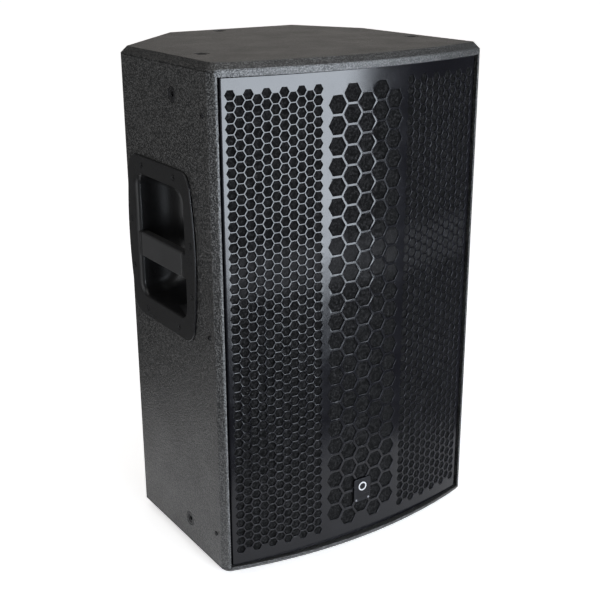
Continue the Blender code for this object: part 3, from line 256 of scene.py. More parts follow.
def open_cell_foam(name, dark, light, cell):
    """Open cells with lighter walls, and a painted lighter band where the baffle bar behind the sheet returns
    light through it.
    """
    material, tree, surface, place = start_material(name, specular=0.12)
    inputs = {"Vector": place, "Scale": 1 / cell}
    walls = node(tree, "ShaderNodeTexVoronoi", inputs, feature="DISTANCE_TO_EDGE").outputs["Distance"]
    pores = spread(tree, walls, 0.02, 0.16, 1.0, 0.0)
    dust = noise(tree, place, 0.003, 5.0)
    height = node(tree, "ShaderNodeSeparateXYZ", {"Vector": place}).outputs["Z"]
    low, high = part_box("horn")[0].z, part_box("woofer_basket")[1].z
    above_woofer = spread(tree, height, high - BAFFLE_LIGHT_BAND, high)
    below_horn = spread(tree, height, low + BAFFLE_LIGHT_BAND, low)
    # painted light: the foam is made lighter between woofer and horn, over the baffle bar behind it
    painted_baffle_light = calc(tree, "MULTIPLY", above_woofer, below_horn)
    shade = calc(tree, "MULTIPLY", pores, spread(tree, dust, 0.42, 0.62))
    shade = calc(tree, "ADD", calc(tree, "MULTIPLY", painted_baffle_light, 0.25), shade)
    rough = spread(tree, dust, 0.3, 0.7, 0.85, 1.0)
    finish_surface(tree, surface, blend_colour(tree, shade, dark, light), rough, pores, 0.0005)
    return material


def wound(name, dark, light, wire):
    """Enamelled wire wound about a horizontal axis along Y."""
    material, tree, surface, place = start_material(name, metallic=0.9)
    inputs = {"Vector": place, "Scale": 0.5 / wire, "Distortion": 0.3}
    turns = node(tree, "ShaderNodeTexWave", inputs, bands_direction="Y").outputs["Fac"]
    rough = spread(tree, turns, 0.0, 1.0, 0.5, 0.28)
    finish_surface(tree, surface, blend_colour(tree, turns, dark, light), rough, turns, wire / 2)
    return material


def tracked(name, board, track):
    """A circuit board: lighter tracks under green lacquer."""
    material, tree, surface, place = start_material(name)
    inputs = {"Vector": scaled(tree, place, (1.0, 0.0, 1.0)), "Scale": 160.0}
    cells = node(tree, "ShaderNodeTexVoronoi", inputs, feature="DISTANCE_TO_EDGE", distance="CHEBYCHEV")
    tracks = spread(tree, cells.outputs["Distance"], 0.04, 0.07, 1.0, 0.0)
    mottle = spread(tree, noise(tree, place, 0.01, 3.0), 0.3, 0.7, 0.3, 1.0)
    shade = calc(tree, "MULTIPLY", tracks, mottle)
    rough = spread(tree, tracks, 0.0, 1.0, 0.35, 0.25)
    finish_surface(tree, surface, blend_colour(tree, shade, board, track), rough, tracks, 0.00004)
    return material


WOOFER_AT = middle("woofer_cone")
SUSPENSION_SECTORS = 12  # the woofer's cloth rings are cut into this many sectors

PAINT = pebbled(
    "textured_paint",
    (0.0015, 0.0015, 0.0016),
    (0.070, 0.069, 0.067),
    0.40,
    0.0019,
    0.00095,
    specular=0.75,
    # the paint's lighter flecks are painted glints on its pebbles
    painted_glints=(0.49, 0.57),
    cloudy=0.03,
)
BAFFLE_PAINT = pebbled("baffle_paint", 0.008, 0.030, 0.80, 0.0016, 0.00030)
GRILLE_STEEL = pebbled(
    "grille_steel", (0.002, 0.002, 0.003), (0.004, 0.004, 0.006), 0.18, 0.0005, 0.000015, specular=0.4
)
# the holes' walls are lighter than the sheet: partly thin paint at the punched edges, partly a painted
# highlight
PUNCHED_EDGE_HIGHLIGHT = streaked(
    "punched_edge_highlight", (0.02, 0.02, 0.025), (0.06, 0.06, 0.07), 0.40, (1, 0.1, 1), 0.00001, 0.1
)
FOAM = open_cell_foam("acoustic_foam", 0.0008, (0.034, 0.033, 0.034), 0.0013)
BADGE_METAL = streaked(
    "badge_metal", (0.003, 0.003, 0.004), (0.010, 0.010, 0.013), 0.32, (0.05, 1, 1), 0.00001, 0.6
)
BADGE_MARK = streaked("badge_mark", (0.42, 0.42, 0.43), (0.62, 0.62, 0.63), 0.35, (0.05, 1, 1), 0.00001, 0.5)
LED_LENS = pebbled("led_lens", (0.14, 0.14, 0.15), (0.28, 0.28, 0.29), 0.25, 0.0006, 0.00002)
SCREW_STEEL = streaked("black_screw", 0.010, (0.045, 0.045, 0.047), 0.38, (1, 1, 1), 0.00002, 0.7)
HANDLE_PLASTIC = pebbled(
    "handle_plastic", (0.009, 0.009, 0.0095), (0.016, 0.016, 0.017), 0.34, 0.0006, 0.00003
)
GRIP_PLASTIC = pebbled("grip_plastic", (0.030, 0.030, 0.0305), (0.050, 0.050, 0.051), 0.40, 0.0006, 0.00005)
RUBBER = pebbled("rubber", 0.008, 0.020, 0.80, 0.0009, 0.00008, specular=0.3)
SOCKET_PLASTIC = pebbled("pole_socket_plastic", 0.010, 0.024, 0.45, 0.0007, 0.00006)
RIGGING_STEEL = streaked(
    "rigging_steel", (0.012, 0.012, 0.013), (0.050, 0.050, 0.052), 0.42, (1, 1, 1), 0.00003, 0.6
)
BASKET_METAL = pebbled(
    "basket_metal", (0.014, 0.014, 0.015), (0.050, 0.050, 0.055), 0.50, 0.0012, 0.0001, 0.5
)
MAGNET = pebbled("magnet", (0.025, 0.025, 0.027), (0.085, 0.085, 0.090), 0.55, 0.0020, 0.0001, 0.4)
PAPER = pebbled("cone_paper", 0.008, (0.040, 0.038, 0.035), 0.85, 0.0022, 0.0002, specular=0.2)
COPPER = wound("coil_copper", (0.22, 0.08, 0.03), (0.85, 0.42, 0.22), 0.0004)
SURROUND_CLOTH = woven("surround_cloth", 0.010, 0.050, 0.0045, 0.0001, WOOFER_AT)
SPIDER_CLOTH = woven("spider_cloth", (0.28, 0.17, 0.05), (0.62, 0.45, 0.19), 0.0040, 0.0001, WOOFER_AT)
HORN_PLASTIC = pebbled("horn_plastic", 0.010, 0.022, 0.42, 0.0008, 0.00005)
DRIVER_METAL = streaked("driver_metal", (0.16, 0.16, 0.17), (0.34, 0.34, 0.35), 0.42, (0.1, 1, 0.1), 0.00003)
AMP_METAL = pebbled(
    "amp_panel_metal", (0.040, 0.040, 0.041), (0.075, 0.075, 0.077), 0.42, 0.0006, 0.00003, 0.2
)
PRINT = pebbled("panel_print", 0.55, 0.75, 0.60, 0.0008, 0.00002)
HEATSINK_METAL = streaked(
    "heatsink_metal", (0.045, 0.045, 0.048), (0.110, 0.110, 0.115), 0.38, (1, 1, 0.04), 0.00003
)
BOARD = tracked("circuit_board", (0.010, 0.070, 0.025), (0.040, 0.200, 0.080))
KNOB_PLASTIC = pebbled("knob_plastic", 0.010, 0.028, 0.50, 0.0005, 0.00005)
SWITCH_PLASTIC = pebbled("switch_plastic", 0.008, 0.020, 0.30, 0.0006, 0.00002)
CONNECTOR_PLASTIC = pebbled("connector_plastic", 0.009, 0.022, 0.45, 0.0006, 0.00004)
CONTACT_METAL = streaked("contact_metal", (0.45, 0.43, 0.38), (0.75, 0.72, 0.66), 0.28, (1, 0.1, 1), 0.00001)


# ---- outlines


def circle(radius, centre=(0, 0), steps=48):
    angles = [2 * math.pi * step / steps for step in range(steps)]
    return [(centre[0] + radius * math.cos(a), centre[1] + radius * math.sin(a)) for a in angles]


def fillet(before, corner, after, radius, steps):
    """The arc that rounds a corner of an outline."""
    before, corner, after = Vector(before), Vector(corner), Vector(after)
    way_in, way_out = (corner - before).normalized(), (after - corner).normalized()
    turn = math.atan2(way_in.cross(way_out), way_in.dot(way_out))
    if radius == 0 or abs(turn) < 1e-6:
        return [tuple(corner)]
    start = corner - way_in * radius * math.tan(abs(turn) / 2)
    to_start = Vector((way_in.y, -way_in.x)) * math.copysign(radius, turn)
    centre = start - to_start
    return [tuple(centre + Matrix.Rotation(turn * step / steps, 2) @ to_start) for step in range(steps + 1)]


def rounded(corners, radii, steps=4):
    """A closed outline with each corner rounded by its own radius."""
    outline = []
    for index, (corner, radius) in enumerate(zip(corners, radii)):
        after = corners[(index + 1) % len(corners)]
        outline += fillet(corners[index - 1], corner, after, radius, steps)
    return outline


def rectangle(extent, radius=0.0, centre=(0, 0), steps=6):
    half_x, half_y = extent[0] / 2, extent[1] / 2
    signs = ((-1, -1), (1, -1), (1, 1), (-1, 1))
    corners = [(centre[0] + x * half_x, centre[1] + y * half_y) for x, y in signs]
    return rounded(corners, [radius] * 4, steps)


def bulged_rectangle(extent, radii, bulge=0.0, centre=(0, 0), steps=8, side_steps=10):
    """A rounded rectangle with bowed left and right sides. radii are those of its left and right corners."""
    half_x, half_y = extent[0] / 2, extent[1] / 2
    signs = ((-1, -1), (1, -1), (1, 1), (-1, 1))
    corners = [(centre[0] + x * half_x, centre[1] + y * half_y) for x, y in signs]
    points = rounded(corners, [radii[0], radii[1], radii[1], radii[0]], steps)
    quarter = len(points) // 4
    shares = [2 * step / side_steps - 1 for step in range(1, side_steps)]

    def bowed(sign, radius):
        side = []
        for share in shares:
            x = centre[0] + sign * half_x + sign * bulge * (1 - share * share)
            side.append((x, centre[1] + sign * share * (half_y - radius)))
        return side

    return points[: 2 * quarter] + bowed(1, radii[1]) + points[2 * quarter :] + bowed(-1, radii[0])


def at_height(outline, z):
    return [(x, y, z) for x, y in outline]


# ---- shapes


def loft(rings, closed=False):
    """A skin over rings of equal numbers of points. A closed row joins its ends, an open one is capped."""
    shape = bmesh.new()
    rows = [[shape.verts.new(point) for point in ring] for ring in rings]
    pairs = list(zip(rows, rows[1:]))
    if closed:
        pairs.append((rows[-1], rows[0]))
    else:
        shape.faces.new(rows[0])
        shape.faces.new(rows[-1])
    for first, second in pairs:
        for a, b, c, d in zip(first, first[1:] + first[:1], second[1:] + second[:1], second):
            shape.faces.new((a, b, c, d))
    bmesh.ops.recalc_face_normals(shape, faces=shape.faces)
    return shape


def turned(profile, segments=64, radii=None, steps=4):
    """A closed profile of (radius, height) points spun about Z. radii rounds each of its corners."""
    if radii is not None:
        profile = rounded(profile, radii, steps)
    rings = [at_height(circle(max(radius, 1e-7), steps=segments), height) for radius, height in profile]
    shape = loft(rings, closed=True)
    bmesh.ops.remove_doubles(shape, verts=shape.verts, dist=1e-6)
    loose = [vertex for vertex in shape.verts if not vertex.link_faces]
    bmesh.ops.delete(shape, geom=loose, context="VERTS")
    bmesh.ops.recalc_face_normals(shape, faces=shape.faces)
    return shape


def flat_fill(loops, thickness):
    """A filled outline centred on z = 0. Loops after the first are holes. Thickness 0 gives an open sheet."""
    curve = bpy.data.curves.new("outline", "CURVE")
    curve.dimensions = "2D"
    curve.fill_mode = "BOTH" if thickness > 0 else "FRONT"
    curve.extrude = thickness / 2
    for loop in loops:
        spline = curve.splines.new("POLY")
        spline.points.add(len(loop) - 1)
        for point, (x, y) in zip(spline.points, loop):
            point.co = (x, y, 0, 1)
        spline.use_cyclic_u = True
    drawn = bpy.data.objects.new("outline", curve)
    bpy.context.scene.collection.objects.link(drawn)
    mesh = bpy.data.meshes.new_from_object(drawn.evaluated_get(bpy.context.evaluated_depsgraph_get()))
    bpy.data.objects.remove(drawn)
    shape = bmesh.new()
    shape.from_mesh(mesh)
    bpy.data.meshes.remove(mesh)
    bmesh.ops.remove_doubles(shape, verts=shape.verts, dist=1e-6)
    bmesh.ops.recalc_face_normals(shape, faces=shape.faces)
    return shape


def slab(extent, thickness, radius, edge, centre=(0, 0), top=0.0):
    """A plate with rounded corners and a rounded front edge, whose front is at z = top."""
    shares = [math.pi / 2 * step / 4 for step in range(5)]
    rings = [at_height(rectangle(extent, radius, centre), top - thickness)]
    for turn in shares:
        inset = edge * (1 - math.cos(turn))
        ring = rectangle((extent[0] - 2 * inset, extent[1] - 2 * inset), max(radius - inset, 1e-4), centre)
        rings.append(at_height(ring, top - edge + edge * math.sin(turn)))
    return loft(rings)


def merged(*shapes):
    """One bmesh that holds several."""
    whole = bmesh.new()
    for shape in shapes:
        mesh = bpy.data.meshes.new("part")
        shape.to_mesh(mesh)
        shape.free()
        whole.from_mesh(mesh)
        bpy.data.meshes.remove(mesh)
    return whole


def shift(x, y, z=0):
    return Matrix.Translation((x, y, z))


def moved(shape, matrix):
    bmesh.ops.transform(shape, matrix=matrix, verts=shape.verts)
    return shape


def soften(obj, width, segments=2, angle=40):
    bevel = obj.modifiers.new("soft edges", "BEVEL")
    bevel.width = width
    bevel.segments = segments
    bevel.limit_method = "ANGLE"
    bevel.angle_limit = math.radians(angle)


def smooth(obj, angle=35):
    for face in obj.data.polygons:
        face.use_smooth = True
    obj.data.set_sharp_from_angle(angle=math.radians(angle))


def flatten(obj):
    """Large faces keep their own normals, and only the rounded edges between them are shaded round."""
    weighted = obj.modifiers.new("flat faces", "WEIGHTED_NORMAL")
    weighted.keep_sharp = True
    weighted.weight = 100


def mesh_object(name, shape):
    mesh = bpy.data.meshes.new(name)
    shape.to_mesh(mesh)
    shape.free()
    obj = bpy.data.objects.new(name, mesh)
    bpy.context.scene.collection.objects.link(obj)
    return obj


def piece(name, shape, material, replaced=(), body="cabinet", matrix=None, edge=0.0):
    """A piece that rides on a body and stands for the CAD nodes it replaces. edge rounds its corners."""
    if matrix is not None:
        moved(shape, matrix)
    obj = mesh_object(name, shape)
    obj.data.materials.append(material)
    smooth(obj)
    if edge > 0:
        soften(obj, edge)
    flatten(obj)
    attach(obj, body)
    if replaced:
        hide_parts(*replaced)
    return obj


def drill(obj, cutter_shape, matrix=None):
    """Cuts a shape out of a piece and applies the cut."""
    cutter = mesh_object("cutter", cutter_shape if matrix is None else moved(cutter_shape, matrix))
    modifier = obj.modifiers.new("cut", "BOOLEAN")
    modifier.object = cutter
    modifier.operation = "DIFFERENCE"
    modifier.solver = "EXACT"
    mesh = bpy.data.meshes.new_from_object(obj.evaluated_get(bpy.context.evaluated_depsgraph_get()))
    obj.modifiers.clear()
    obj.data = mesh
    bpy.data.objects.remove(cutter)
    smooth(obj)
    flatten(obj)


def dress(name, material, edge=0.0, segments=2, angle=40):
    """Gives a CAD node its material and, where edge is above 0, softened edges."""
    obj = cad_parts[name]
    obj.data.materials.clear()
    obj.data.materials.append(material)
    smooth(obj, 28)
    if edge > 0:
        weld = obj.modifiers.new("weld", "WELD")
        weld.merge_threshold = 0.00001
        soften(obj, edge, segments, angle)
    flatten(obj)


# ---- cabinet


def dress_cabinet():
    """The boards that show their edges get a wider rounding than those between them."""
    for name in ("top_panel", "bottom_panel", "left_panel", "right_panel"):
        dress(name, PAINT, BOARD_EDGE, 3, BOARD_EDGE_ANGLE)
    for name in ("rear_left_panel", "rear_right_panel", "rear_panel"):
        dress(name, PAINT, REAR_BOARD_EDGE)
    for name in ("front_baffle", "window_brace"):
        dress(name, BAFFLE_PAINT)


# ---- grille, foam and badge


def grille_skin():
    """The grille's outer skin, as a function of the distance round the sheet, and the sheet's half width."""
    low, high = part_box("front_grille")
    fold_start = math.asin((high.x - FOLD_RADIUS) / (GRILLE_RADIUS - FOLD_RADIUS))
    face_reach = GRILLE_RADIUS * fold_start
    fold_reach = face_reach + FOLD_RADIUS * (math.pi / 2 - fold_start)

    def skin(reach, z, inset=0.0):
        distance = abs(reach)
        on_face = min(distance, face_reach)
        in_fold = min(distance - on_face, fold_reach - face_reach)
        slope = on_face / GRILLE_RADIUS
        folded = slope + in_fold / FOLD_RADIUS
        x = GRILLE_RADIUS * math.sin(slope) + FOLD_RADIUS * (math.sin(folded) - math.sin(slope))
        y = GRILLE_RADIUS * (1 - math.cos(slope)) + FOLD_RADIUS * (math.cos(slope) - math.cos(folded))
        x -= inset * math.sin(folded)
        y += inset * math.cos(folded) + distance - on_face - in_fold
        return (math.copysign(x, reach), low.y + y, z)

    return skin, fold_reach + high.y - skin(fold_reach, 0)[1]


def hexagon(across, centre):
    return circle(across / math.sqrt(3), centre, 6)


def grille_holes():
    """The hexagons of the flat sheet, in columns staggered by half a pitch: large ones in the middle."""
    holes = []

    def add_column(width, across, rows, pitch):
        for row in range(rows):
            holes.append(hexagon(width, (across, HOLES_MID_Z + (row - (rows - 1) / 2) * pitch)))

    for column in range(LARGE_COLUMNS):
        across = (column - (LARGE_COLUMNS - 1) / 2) * LARGE_PITCH * math.sqrt(3) / 2
        add_column(LARGE_HOLE, across, LARGE_ROWS + column % 2, LARGE_PITCH)
    for side in (-1, 1):
        for column in range(SMALL_COLUMNS):
            across = side * (SMALL_FIRST_COLUMN + column * SMALL_COLUMN)
            add_column(SMALL_HOLE, across, SMALL_ROWS - column % 2, SMALL_PITCH)
    return holes


def build_grille():
    """A perforated sheet, drawn flat, bent to the bowed face and folded back at both sides."""
    skin, reach = grille_skin()
    low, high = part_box("front_grille")
    border = [(-reach, low.z), (reach, low.z), (reach, high.z), (-reach, high.z)]
    sheet = flat_fill([border, *grille_holes()], 0)
    stations = math.floor(reach / SHEET_STATION)
    cuts = [side * step * SHEET_STATION for step in range(stations + 1) for side in (-1, 1)]
    fold = high.x - FOLD_RADIUS
    cuts += [side * (fold + step * FOLD_STATION) for step in range(FOLD_STATIONS) for side in (-1, 1)]
    for x in cuts:
        everything = sheet.verts[:] + sheet.edges[:] + sheet.faces[:]
        bmesh.ops.bisect_plane(sheet, geom=everything, plane_co=(x, 0, 0), plane_no=(1, 0, 0), dist=1e-6)
    for vertex in sheet.verts:
        vertex.co = skin(vertex.co.x, vertex.co.y)
    bmesh.ops.recalc_face_normals(sheet, faces=sheet.faces)
    if sum(face.normal.y * face.calc_area() for face in sheet.faces) > 0:
        bmesh.ops.reverse_faces(sheet, faces=sheet.faces)
    grille = piece("grille_sheet", sheet, GRILLE_STEEL, ["front_grille"])
    grille.modifiers.clear()
    solidify = grille.modifiers.new("sheet", "SOLIDIFY")
    solidify.thickness = SHEET
    solidify.offset = -1
    # the holes' walls take the lighter colour, partly a painted highlight
    solidify.material_offset_rim = 1
    grille.data.materials.append(PUNCHED_EDGE_HIGHLIGHT)
    soften(grille, PUNCH_ROUND, 1, 60)
    grille.modifiers["soft edges"].use_clamp_overlap = False
    flatten(grille)


def build_foam():
    """A soft sheet that follows the back of the grille, slightly uneven."""
    skin, _ = grille_skin()
    low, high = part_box("grille_foam")
    across, upward = 60, 100
    limit = GRILLE_RADIUS * math.asin((high.x - FOAM_EDGE_GAP) / GRILLE_RADIUS)
    shape = bmesh.new()
    rows = []
    for layer in range(2):
        for row in range(upward + 1):
            z = low.z + (high.z - low.z) * row / upward
            line = []
            for column in range(across + 1):
                reach = limit * (2 * column / across - 1)
                wave = FOAM_WAVE * (1 + math.sin(reach * 310 + 3 * math.sin(z * 90)) * math.sin(z * 270))
                inset = SHEET + FOAM_GAP + (FOAM_THICKNESS if layer else wave)
                line.append(shape.verts.new(skin(reach, z, inset)))
            rows.append(line)
    front, rear = rows[: upward + 1], rows[upward + 1 :]
    for sheet, flip in ((front, False), (rear, True)):
        for first, second in zip(sheet, sheet[1:]):
            for a, b, c, d in zip(first, first[1:], second[1:], second):
                shape.faces.new((d, c, b, a) if flip else (a, b, c, d))
    rim = [front[0], [line[-1] for line in front], front[-1][::-1], [line[0] for line in front][::-1]]
    rear_rim = [rear[0], [line[-1] for line in rear], rear[-1][::-1], [line[0] for line in rear][::-1]]
    for near, far in zip(rim, rear_rim):
        for a, b, c, d in zip(near, near[1:], far[1:], far):
            shape.faces.new((a, d, c, b))
    bmesh.ops.recalc_face_normals(shape, faces=shape.faces)
    foam = piece("foam_sheet", shape, FOAM, ["grille_foam"])


def build_badge():
    """A plain plate with a generic ring on it, and two status lenses below the ring."""
    at, extent = middle("badge"), size("badge")
    front = facing(0, -1, (at.x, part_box("badge")[0].y, at.z))
    plate = slab((extent.x, extent.z), extent.y, 0.003, 0.0006)
    piece("badge_plate", plate, BADGE_METAL, ["badge"], matrix=front)
    profile = [(0.0068, -0.0004), (0.0068, 0.0004), (0.0048, 0.0004), (0.0048, -0.0004)]
    ring = turned(profile, 64, [0.0002] * 4)
    piece("badge_ring", ring, BADGE_MARK, matrix=front @ shift(0, 0.0055))
    lenses = []
    for side in (-1, 1):
        lens = turned([(0, -0.0005), (0, 0.0008), (0.0012, 0.0005), (0.0016, 0), (0.0016, -0.0005)], 24)
        lenses.append(moved(lens, shift(side * 0.0105, -0.0150)))
    piece("badge_lenses", merged(*lenses), LED_LENS, matrix=front)


# ---- screws


def socket_screw(head, height, drive):
    """A round-edged screw head with a six-sided drive, its seat at z = 0."""
    steps = 36
    rings = [at_height(circle(head, steps=steps), -0.0015)]
    for turn in (0, 0.5, 1.0, 1.35):
        radius = head - height * (1 - math.cos(turn))
        rings.append(at_height(circle(radius, steps=steps), height * math.sin(turn)))
    hexagonal = []
    for angle in (2 * math.pi * step / steps for step in range(steps)):
        radius = drive / max(math.cos((angle + math.pi / 6) % (math.pi / 3) - math.pi / 6), 0.5)
        hexagonal.append((radius * math.cos(angle), radius * math.sin(angle)))
    rings.append(at_height(hexagonal, height))
    rings.append(at_height(hexagonal, height * 0.15))
    rings.append(at_height(circle(0.0001, steps=steps), height * 0.05))
    return loft(rings)


def build_grille_screws():
    for side_name, side in (("left", -1), ("right", 1)):
        for level in ("lower", "middle", "upper"):
            name = f"grille_screw_{side_name}_{level}"
            low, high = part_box(name)
            head_top = abs(high.x if side > 0 else low.x)
            seat = facing(side, 0, (side * (head_top - 0.0011), middle(name).y, middle(name).z))
            head = socket_screw(*GRILLE_SCREW)
            shank = turned([(0, -0.0165), (0, 0), (0.0019, 0), (0.0019, -0.0160), (0.0014, -0.0165)], 24)
            piece(f"{name}_head", merged(head, shank), SCREW_STEEL, [name], matrix=seat)


# ---- handles


def handle_shape(side):
    """Cup, flange and rounded lip of a recessed handle, its wall face at z = 0."""
    pocket = (side * POCKET_Y, POCKET_Z)
    lip_at = (pocket[0] + side * POCKET_LIP / 2, pocket[1])
    width, height = POCKET_SIZE

    def corners(front, rear):
        return (rear, front) if side < 0 else (front, rear)

    def cup(outward, turn):
        inset = POCKET_DISH * (1 - math.cos(turn)) - outward
        extent = (width - 2 * inset, height - 2 * inset)
        depth = POCKET_DEPTH - POCKET_ROUND + (POCKET_ROUND + outward) * math.sin(turn)
        front = min(POCKET_FRONT_CORNER + outward, extent[1] / 2 - 0.001, extent[0] - POCKET_CORNER + 0.004)
        rear = min(POCKET_CORNER + outward, extent[0] - front - 0.001)
        return at_height(bulged_rectangle(extent, corners(front, rear), centre=pocket), -depth)

    def flange(inset, z):
        extent = (HANDLE_SIZE[0] - 2 * inset, HANDLE_SIZE[1] - 2 * inset)
        return at_height(bulged_rectangle(extent, [0.025 - inset] * 2, HANDLE_BULGE), z)

    def mouth(share):
        """A ring of the rounded lip, share running from the flange's face at 0 to the cup's wall at 1."""
        turn = share * math.pi / 2
        spread_out = 1 - math.sin(turn)
        extent = (width + POCKET_LIP * spread_out, height + 0.004 * spread_out)
        centre = (pocket[0] + (lip_at[0] - pocket[0]) * spread_out, pocket[1])
        depth = (FLANGE + 0.003) * (1 - math.cos(turn))
        outline = bulged_rectangle(extent, [POCKET_CORNER + 0.002 * spread_out] * 2, centre=centre)
        return at_height(outline, FLANGE - depth)

    turns = [math.pi / 2 * step / 10 for step in range(11)]
    edge = 0.0016
    outer_extent = (width + 2 * POCKET_WALL, height + 2 * POCKET_WALL)
    outer = bulged_rectangle(outer_extent, [POCKET_CORNER + POCKET_WALL] * 2, centre=pocket)
    rings = [cup(POCKET_WALL, turn) for turn in turns[::-1]]
    rings += [at_height(outer, 0.0003), flange(0, 0.0003)]
    for turn in turns[::2]:
        rings.append(flange(edge * (1 - math.cos(turn)), FLANGE - edge + edge * math.sin(turn)))
    rings += [mouth(step / 8) for step in range(9)]
    rings += [cup(0, turn) for turn in turns]
    return loft(rings)


def build_handle(side_name, side):
    """The moulding, its two grip seats, the grip and the eight screws."""
    name, grip = f"{side_name}_handle", f"{side_name}_grip"
    low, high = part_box(name)
    wall_x = side * (max(abs(low.x), abs(high.x)) - FLANGE)
    at = middle(name)
    wall = facing(side, 0, (wall_x, at.y, at.z))
    shape = handle_shape(side)
    handle = piece(f"{name}_moulding", shape, HANDLE_PLASTIC, [name], matrix=wall)

    dishes, screws = [], []
    bottom, top = FLANGE - 0.0017, FLANGE + 0.0006
    for y, z in HANDLE_SCREWS:
        dish = [(0, bottom), (0.0038, bottom), (0.0056, top), (0, top)]
        dishes.append(moved(turned(dish, 36), shift(side * y, z)))
        screws.append(moved(socket_screw(*HANDLE_SCREW), shift(side * y, z) @ shift(0, 0, FLANGE - 0.0015)))
    drill(handle, merged(*dishes), wall)
    piece(f"{name}_screws", merged(*screws), SCREW_STEEL, matrix=wall)

    bar_at, bar = middle(grip), size(grip)
    bar_z = side * bar_at.x - side * wall_x
    length, tall, thick = bar.y - 2 * 0.006, bar.z, bar.x
    across = side * (bar_at.y - at.y)
    place = wall @ shift(across, bar_at.z - at.z, bar_z + thick / 2)
    front = slab((length, tall), thick, 0.0015, 0.0030)
    tenon = slab((bar.y, 0.024), 0.006, 0.001, 0.0005, top=-0.003)
    piece(f"{grip}_bar", merged(front, tenon), GRIP_PLASTIC, [grip], matrix=place)

    seats = []
    pocket_low = at.y + POCKET_Y - POCKET_SIZE[0] / 2
    pocket_high = at.y + POCKET_Y + POCKET_SIZE[0] / 2
    bar_low, bar_high = bar_at.y - length / 2, bar_at.y + length / 2
    for start, end in ((pocket_low - 0.003, bar_low), (bar_high, pocket_high + 0.004)):
        seat_length = end - start - 0.0004
        centre = side * ((start + end) / 2 - bar_at.y)
        seats.append(slab((seat_length, tall), thick, 0.0008, 0.0030, (centre, 0)))
    piece(f"{name}_seats", merged(*seats), HANDLE_PLASTIC, matrix=place)


# ---- rigging, feet and pole socket


def build_rigging():
    """Threaded inserts, each with a thin collar and a plug with a drive socket."""
    for name in sorted(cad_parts):
        if not name.startswith("rigging_point"):
            continue
        low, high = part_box(name)
        at = middle(name)
        if "top" in name:
            place = shift(at.x, at.y, high.z)
        else:
            side = -1 if "left" in name else 1
            place = facing(side, 0, (low.x if side < 0 else high.x, at.y, at.z))
        profile = [(0.0001, -0.0135), (0.0001, -0.0048), (0.0034, -0.0042), (0.0034, -0.0011)]
        profile += [(0.0060, -0.0011), (0.0066, 0.0000), (0.0099, 0.0000), (0.0099, -0.0135)]
        body = turned(profile, 64, [0, 0, 0.0002, 0.0004, 0.0003, 0.0003, 0.0006, 0])
        piece(f"{name}_insert", body, RIGGING_STEEL, [name], matrix=place)


def foot_shape(radius, height):
    """A rubber foot with a screw recess and a rounded tread, its base at z = 0."""
    bore, sink = radius * 0.36, height * 0.45
    profile = [(0.0001, 0), (0.0001, height - sink), (bore, height - sink)]
    profile += [(bore, height), (radius, height), (radius, 0)]
    return turned(profile, 64, [0, 0, 0.0006, 0.0008, min(0.0022, height * 0.3), 0])


def build_feet():
    for name in sorted(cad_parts):
        if "foot" not in name:
            continue
        at = middle(name)
        if name.startswith("base"):
            radius, height = size(name).x / 2, size(name).z
            root = Vector((at.x, at.y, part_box(name)[1].z))
            place = Matrix.LocRotScale(root, Euler((math.pi, 0, 0)), None)
        else:
            radius, height = size(name).z / 2, MONITOR_FOOT_HEIGHT
            along = (middle("monitor_foot_lower_right") - middle("monitor_foot_lower_left")).normalized()
            outward = Vector((-along.y, along.x, 0))
            place = facing(outward.x, outward.y, at - outward * height / 2)
        piece(f"{name}_rubber", foot_shape(radius, height), RUBBER, [name], matrix=place)
        screw = socket_screw(radius * 0.28, 0.0012, 0.0013)
        seat = place @ shift(0, 0, height * 0.56)
        piece(f"{name}_screw", screw, SCREW_STEEL, matrix=seat)


def build_pole_socket():
    """The flanged tube that takes a 35 mm pole, with four screws."""
    low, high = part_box("pole_socket")
    at = middle("pole_socket")
    flange, tube, bore = size("pole_socket").x / 2, 0.021, 0.0178
    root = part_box("base_foot_front_left")[1].z
    profile = [(0, high.z), (tube, high.z), (tube, root), (flange, root), (flange, low.z), (bore, low.z)]
    profile += [(bore, high.z - 0.003), (0, high.z - 0.003)]
    radii = [0, 0.001, 0, 0.0004, 0.0014, 0.0011, 0.001, 0]
    shape = moved(turned(profile, 96, radii), shift(at.x, at.y))
    socket = piece("pole_socket_tube", shape, SOCKET_PLASTIC, ["pole_socket"])
    dishes, screws = [], []
    for quarter in range(4):
        angle = math.pi / 4 + quarter * math.pi / 2
        x, y = at.x + 0.039 * math.cos(angle), at.y + 0.039 * math.sin(angle)
        under = shift(x, y, low.z) @ Matrix.Rotation(math.pi, 4, "X")
        dish = [(0, -0.0014), (0.0040, -0.0014), (0.0052, 0.0005), (0, 0.0005)]
        dishes.append(moved(turned(dish, 36), under))
        screws.append(moved(socket_screw(*SOCKET_SCREW), under @ shift(0, 0, -0.0013)))
    drill(socket, merged(*dishes))
    piece("pole_socket_screws", merged(*screws), SCREW_STEEL)


# ---- drivers


def dress_drivers():
    for name, material in (
        ("woofer_basket", BASKET_METAL),
        ("woofer_magnet", MAGNET),
        ("woofer_cone", PAPER),
        ("woofer_dust_cap", PAPER),
        ("woofer_coil", COPPER),
        ("horn", HORN_PLASTIC),
        ("compression_driver", DRIVER_METAL),
        ("port_left", HORN_PLASTIC),
        ("port_right", HORN_PLASTIC),
    ):
        dress(name, material)


def ring_sector(ring, angle, half_angle):
    """The part of a ring of the woofer that lies within half_angle of a direction, closed where it is cut."""
    shape = bmesh.new()
    shape.from_mesh(ring.data)
    moved(shape, ring.matrix_world)
    for side in (-1, 1):
        cut_angle = angle + side * half_angle
        outward = Vector((-math.sin(cut_angle), 0, math.cos(cut_angle))) * side
        everything = shape.verts[:] + shape.edges[:] + shape.faces[:]
        keep = {"plane_co": WOOFER_AT, "plane_no": outward, "clear_outer": True}
        bmesh.ops.bisect_plane(shape, geom=everything, **keep)
        bmesh.ops.holes_fill(shape, edges=[edge for edge in shape.edges if edge.is_boundary])
    return shape


